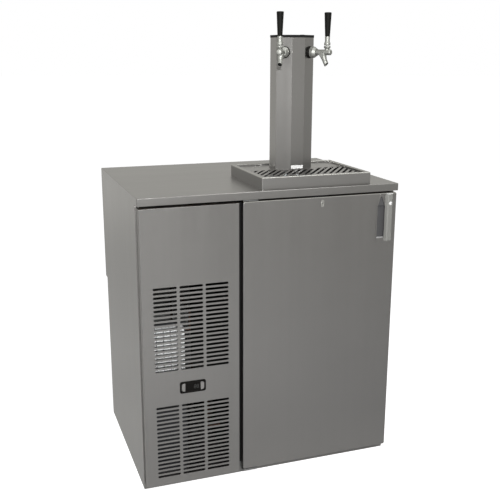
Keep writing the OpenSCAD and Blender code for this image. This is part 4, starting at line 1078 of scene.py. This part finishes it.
# Painted highlights on the rim's folds, and painted light on the basin's floor.
for face in tray.faces:
    if face.calc_center_median().z > tray_high.z - 3:
        face.material_index = RIM_PAINTED_HIGHLIGHT if 0.15 < face.normal.z < 0.97 else 0
    elif face.normal.z > 0.9:
        face.material_index = BASIN_PAINTED_LIGHT
piece("tray", tray, "cabinet", steel_tray, ["drip_tray"], more=[satin_steel_and_rim_highlight, pale_grey_and_painted_light])
kept("grate_plate", "drip_grate", "grate", "stainless", steel_across, 0.35)
kept("tower_stand", "tower_platform", "cabinet", "stainless", steel_across, 0.4)
print("tray rim", round(RIM, 1), "mm wide")

# %% [markdown]
# ## The tower
# The column is one folded sheet: a narrow front, two faces turned outwards for the taps, two sides
# and a flat back, closed by a black cap. A small pale clip sits at the foot of its front.

# %% Tower
kept("tower_sheet", "tower_column", "cabinet", "stainless", steel_upright, 0.9, 3, 0.3, 25)
CLIP_HALF_W, CLIP_FOOT, CLIP_TOP = 20, 2.2, 12.6
foot_clip = block(
    (tower_x - CLIP_HALF_W, column_low.y - 0.4, column_low.z + CLIP_FOOT),
    (tower_x + CLIP_HALF_W, column_low.y + 1, column_low.z + CLIP_TOP), 0.4,
)
piece("foot_clip", foot_clip, "cabinet", pale_grey_and_painted_light)
kept("tower_lid", "tower_cap", "cabinet", "black_plastic", black_and_painted_shade, 1.2, 3, 0.3)

# %% [markdown]
# ## The shapes of a tap
# Each tap is turned metal, so its shapes are outlines: distances from an axis, and heights along it.
# The barrel comes square out of the tower's face, and in its upper side is a hole, through which the
# lever's finger reaches the valve. The bonnet and the lever stand on the barrel, and the spout hangs
# from it. The spout's root is a cone cut flat on both sides, and its mouth is cut at a slant.

# %% Tap outlines
HOLE_FROM, HOLE_TO = 58, 68.4
WEB_END = 25.2
COLLAR = [(11.1, 0), (18, 0), (18, 2.6), (17.4, 3.4), (15.6, 7.6), (14.6, 8), (11.1, 8), (11.1, 0)]
NUT = [
    (11.1, 8), (15.6, 8), (16.3, 8.7), (16.3, 18.4), (15.6, 19.6), (12.2, 25), (11.2, 27), (8.8, 27),
    (8.8, 18), (11.1, 18), (11.1, 8),
]
BARREL = [
    (6.1, 14.5), (11, 14), (11, 18), (8.7, 18), (8.7, 30), (8.2, 34), (8.2, 52), (8.7, HOLE_FROM),
    (8.7, HOLE_TO), (8.7, 73), (8.2, 75.4), (6.6, 76.8), (0, 77.2), (0, 74.5), (6.1, 74), (6.1, HOLE_TO),
    (6.1, HOLE_FROM), (6.1, 14.5),
]
WEB = [(0, 0), (12.6, 0), (11.3, -6), (9.8, -12), (8.5, -18), (7.6, -23), (7.4, -WEB_END), (0, -WEB_END)]
TUBE = [(7.4, 0), (7.2, -9), (7.1, -18), (6.2, -18), (6.0, -12), (5, -9), (5, 0), (7.4, 0)]
MOUTH_SHADE_DISC = [(0, 0), (6.5, 0), (6.5, 0.6), (0, 0.6)]
NECK = [(6.3, 4), (7.4, 4), (7.4, 8.5), (6.3, 8.5), (6.3, 4)]
BONNET = [
    (5.8, 7.5), (6.9, 8.1), (7.2, 10.4), (8.4, 11.8), (9.8, 13.8), (10.3, 15.6), (10.2, 16.6), (9.4, 18.0),
    (8.4, 18.6), (7.4, 18.6), (5.8, 14), (5.8, 7.5),
]
LEVER = [
    (0, -14.2), (1.6, -13.6), (2.2, -12), (1.6, -10.6), (1.5, -5.2), (3.4, -4.4), (5.1, -2), (5.5, 0),
    (5.0, 2.4), (3.9, 4.4), (3.9, 10.3), (7.0, 8.7), (8.3, 7.4), (8.8, 7.0), (8.9, 8.4), (9.4, 10),
    (9.6, 12), (9.0, 14.6), (7.9, 16.8), (7.4, 18.0), (7.4, 26), (7.7, 30), (7.7, 33), (0, 33),
]
KNOB = [
    (0, 33), (7.2, 33), (7.5, 34.2), (7.9, 42), (8.9, 62), (9.9, 84), (10.6, 98), (10.8, 100.2),
    (10.4, 101.8), (9.0, 102.8), (0, 103),
]

# %% [markdown]
# ## The taps
# Each tap has a black collar, a coupling nut with eight lugs, the barrel with its spout, and the
# bonnet. The lever has a ball with a finger below it, which moves the valve, and a skirt over the
# bonnet, and it carries the knob. The two taps differ only in where they stand and which way they
# face, so one loop makes both.


# %% Taps
def leaning(degrees):
    return Matrix.Rotation(math.radians(degrees), 4, "X")


FACE_ANGLE = math.radians(34.6)
FACE_X, FACE_Y = 41.17, column_low.y + 1 + 13.91
TAP_Z = column_high.z - 43.5
TAP_OUT, ROOT_BACK, PIVOT_UP = 63, 17, 13
SPOUT_LEAN, SPOUT_BEND, MOUTH_SLANT = -21, -6.5, -20.5
HALF_WEB, KNEE_R, MOUTH_END, BORE_END = 8.4, 7.38, -14.3, -13.6
LUGS = 8
for side, sign in (("left", -1), ("right", 1)):
    place = at(tower_x + sign * FACE_X, FACE_Y, TAP_Z)
    face = place @ Matrix.Rotation(sign * FACE_ANGLE, 4, "Z") @ UPRIGHT
    collar = lathe(COLLAR, face)
    piece("collar_" + side, collar, "cabinet", black_plastic, ["tap_collars"])

    nut = lathe(NUT, face, 48)
    for k in range(LUGS):
        lug = block((15.4, -2.2, 9.6), (17.0, 2.2, 17.6), 0.5)
        join(nut, moved(lug, face @ Matrix.Rotation(k * TURN / LUGS, 4, "Z")))
    piece("coupling_" + side, nut, "cabinet", chrome, ["coupling_nuts"])

    barrel = lathe(BARREL)
    open_up(barrel, lambda c: abs(c.x) < 5 and c.y > 3 and HOLE_FROM < c.z < HOLE_TO)
    moved(barrel, face)
    standing = face @ at(0, 0, TAP_OUT) @ leaning(-90)
    root = face @ at(0, 0, TAP_OUT - ROOT_BACK) @ leaning(-90)
    lean = root @ leaning(SPOUT_LEAN)
    web = lathe(WEB, steps=48)
    for cheek in (-HALF_WEB, HALF_WEB):
        sliced(web, (cheek, 0, 0), (cheek, 0, 0))
    sliced(moved(web, lean), (0, 0, TAP_Z - 2), (0, 0, 1))
    tube = lathe(TUBE)
    sliced(tube, (0, 0, MOUTH_END), leaning(MOUTH_SLANT).to_3x3() @ Vector((0, 0, -1)), fill=False)
    bend = lean @ at(0, 0, -WEB_END) @ leaning(SPOUT_BEND)
    moved(tube, bend)
    knee = bmesh.new()
    bmesh.ops.create_uvsphere(knee, u_segments=32, v_segments=16, radius=KNEE_R)
    moved(knee, bend)
    neck = lathe(NECK, standing, 32)
    join(barrel, web, knee, tube, neck)
    piece("faucet_" + side, barrel, "cabinet", chrome, ["faucet_bodies"])
    # A black disc inside the spout's mouth is painted shade in the bore.
    mouth_shade = lathe(MOUTH_SHADE_DISC, bend @ at(0, 0, BORE_END) @ leaning(MOUTH_SLANT), 24)
    piece("spout_bore_" + side, mouth_shade, "cabinet", black_and_painted_shade)
    bonnet = lathe(BONNET, standing, 36)
    piece("bonnet_" + side, bonnet, "cabinet", chrome, ["faucet_bonnets"])

    pivot = standing @ at(0, 0, PIVOT_UP)
    lever = lathe(LEVER, pivot, 36)
    piece("lever_arm_" + side, lever, "tap_" + side, chrome, ["lever_" + side])
    knob = lathe(KNOB, pivot, 40)
    piece("tap_knob_" + side, knob, "tap_" + side, knob_black, ["knob_" + side])
    kept("valve_" + side, "valve_shaft_" + side, "valve_" + side, "brass", brass, 0)
print("pieces:", len(made))

# %% [markdown]
# ## The sizes
# The CAD model's box and the dressed model's box are both printed. The dressed model has to
# stay close to the CAD model's box.

# %% Sizes
visual_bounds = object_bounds()
for title, box in (("CAD box", cad_bounds), ("visual box", visual_bounds)):
    print(title, [tuple(round(v, 4) for v in corner) for corner in box])
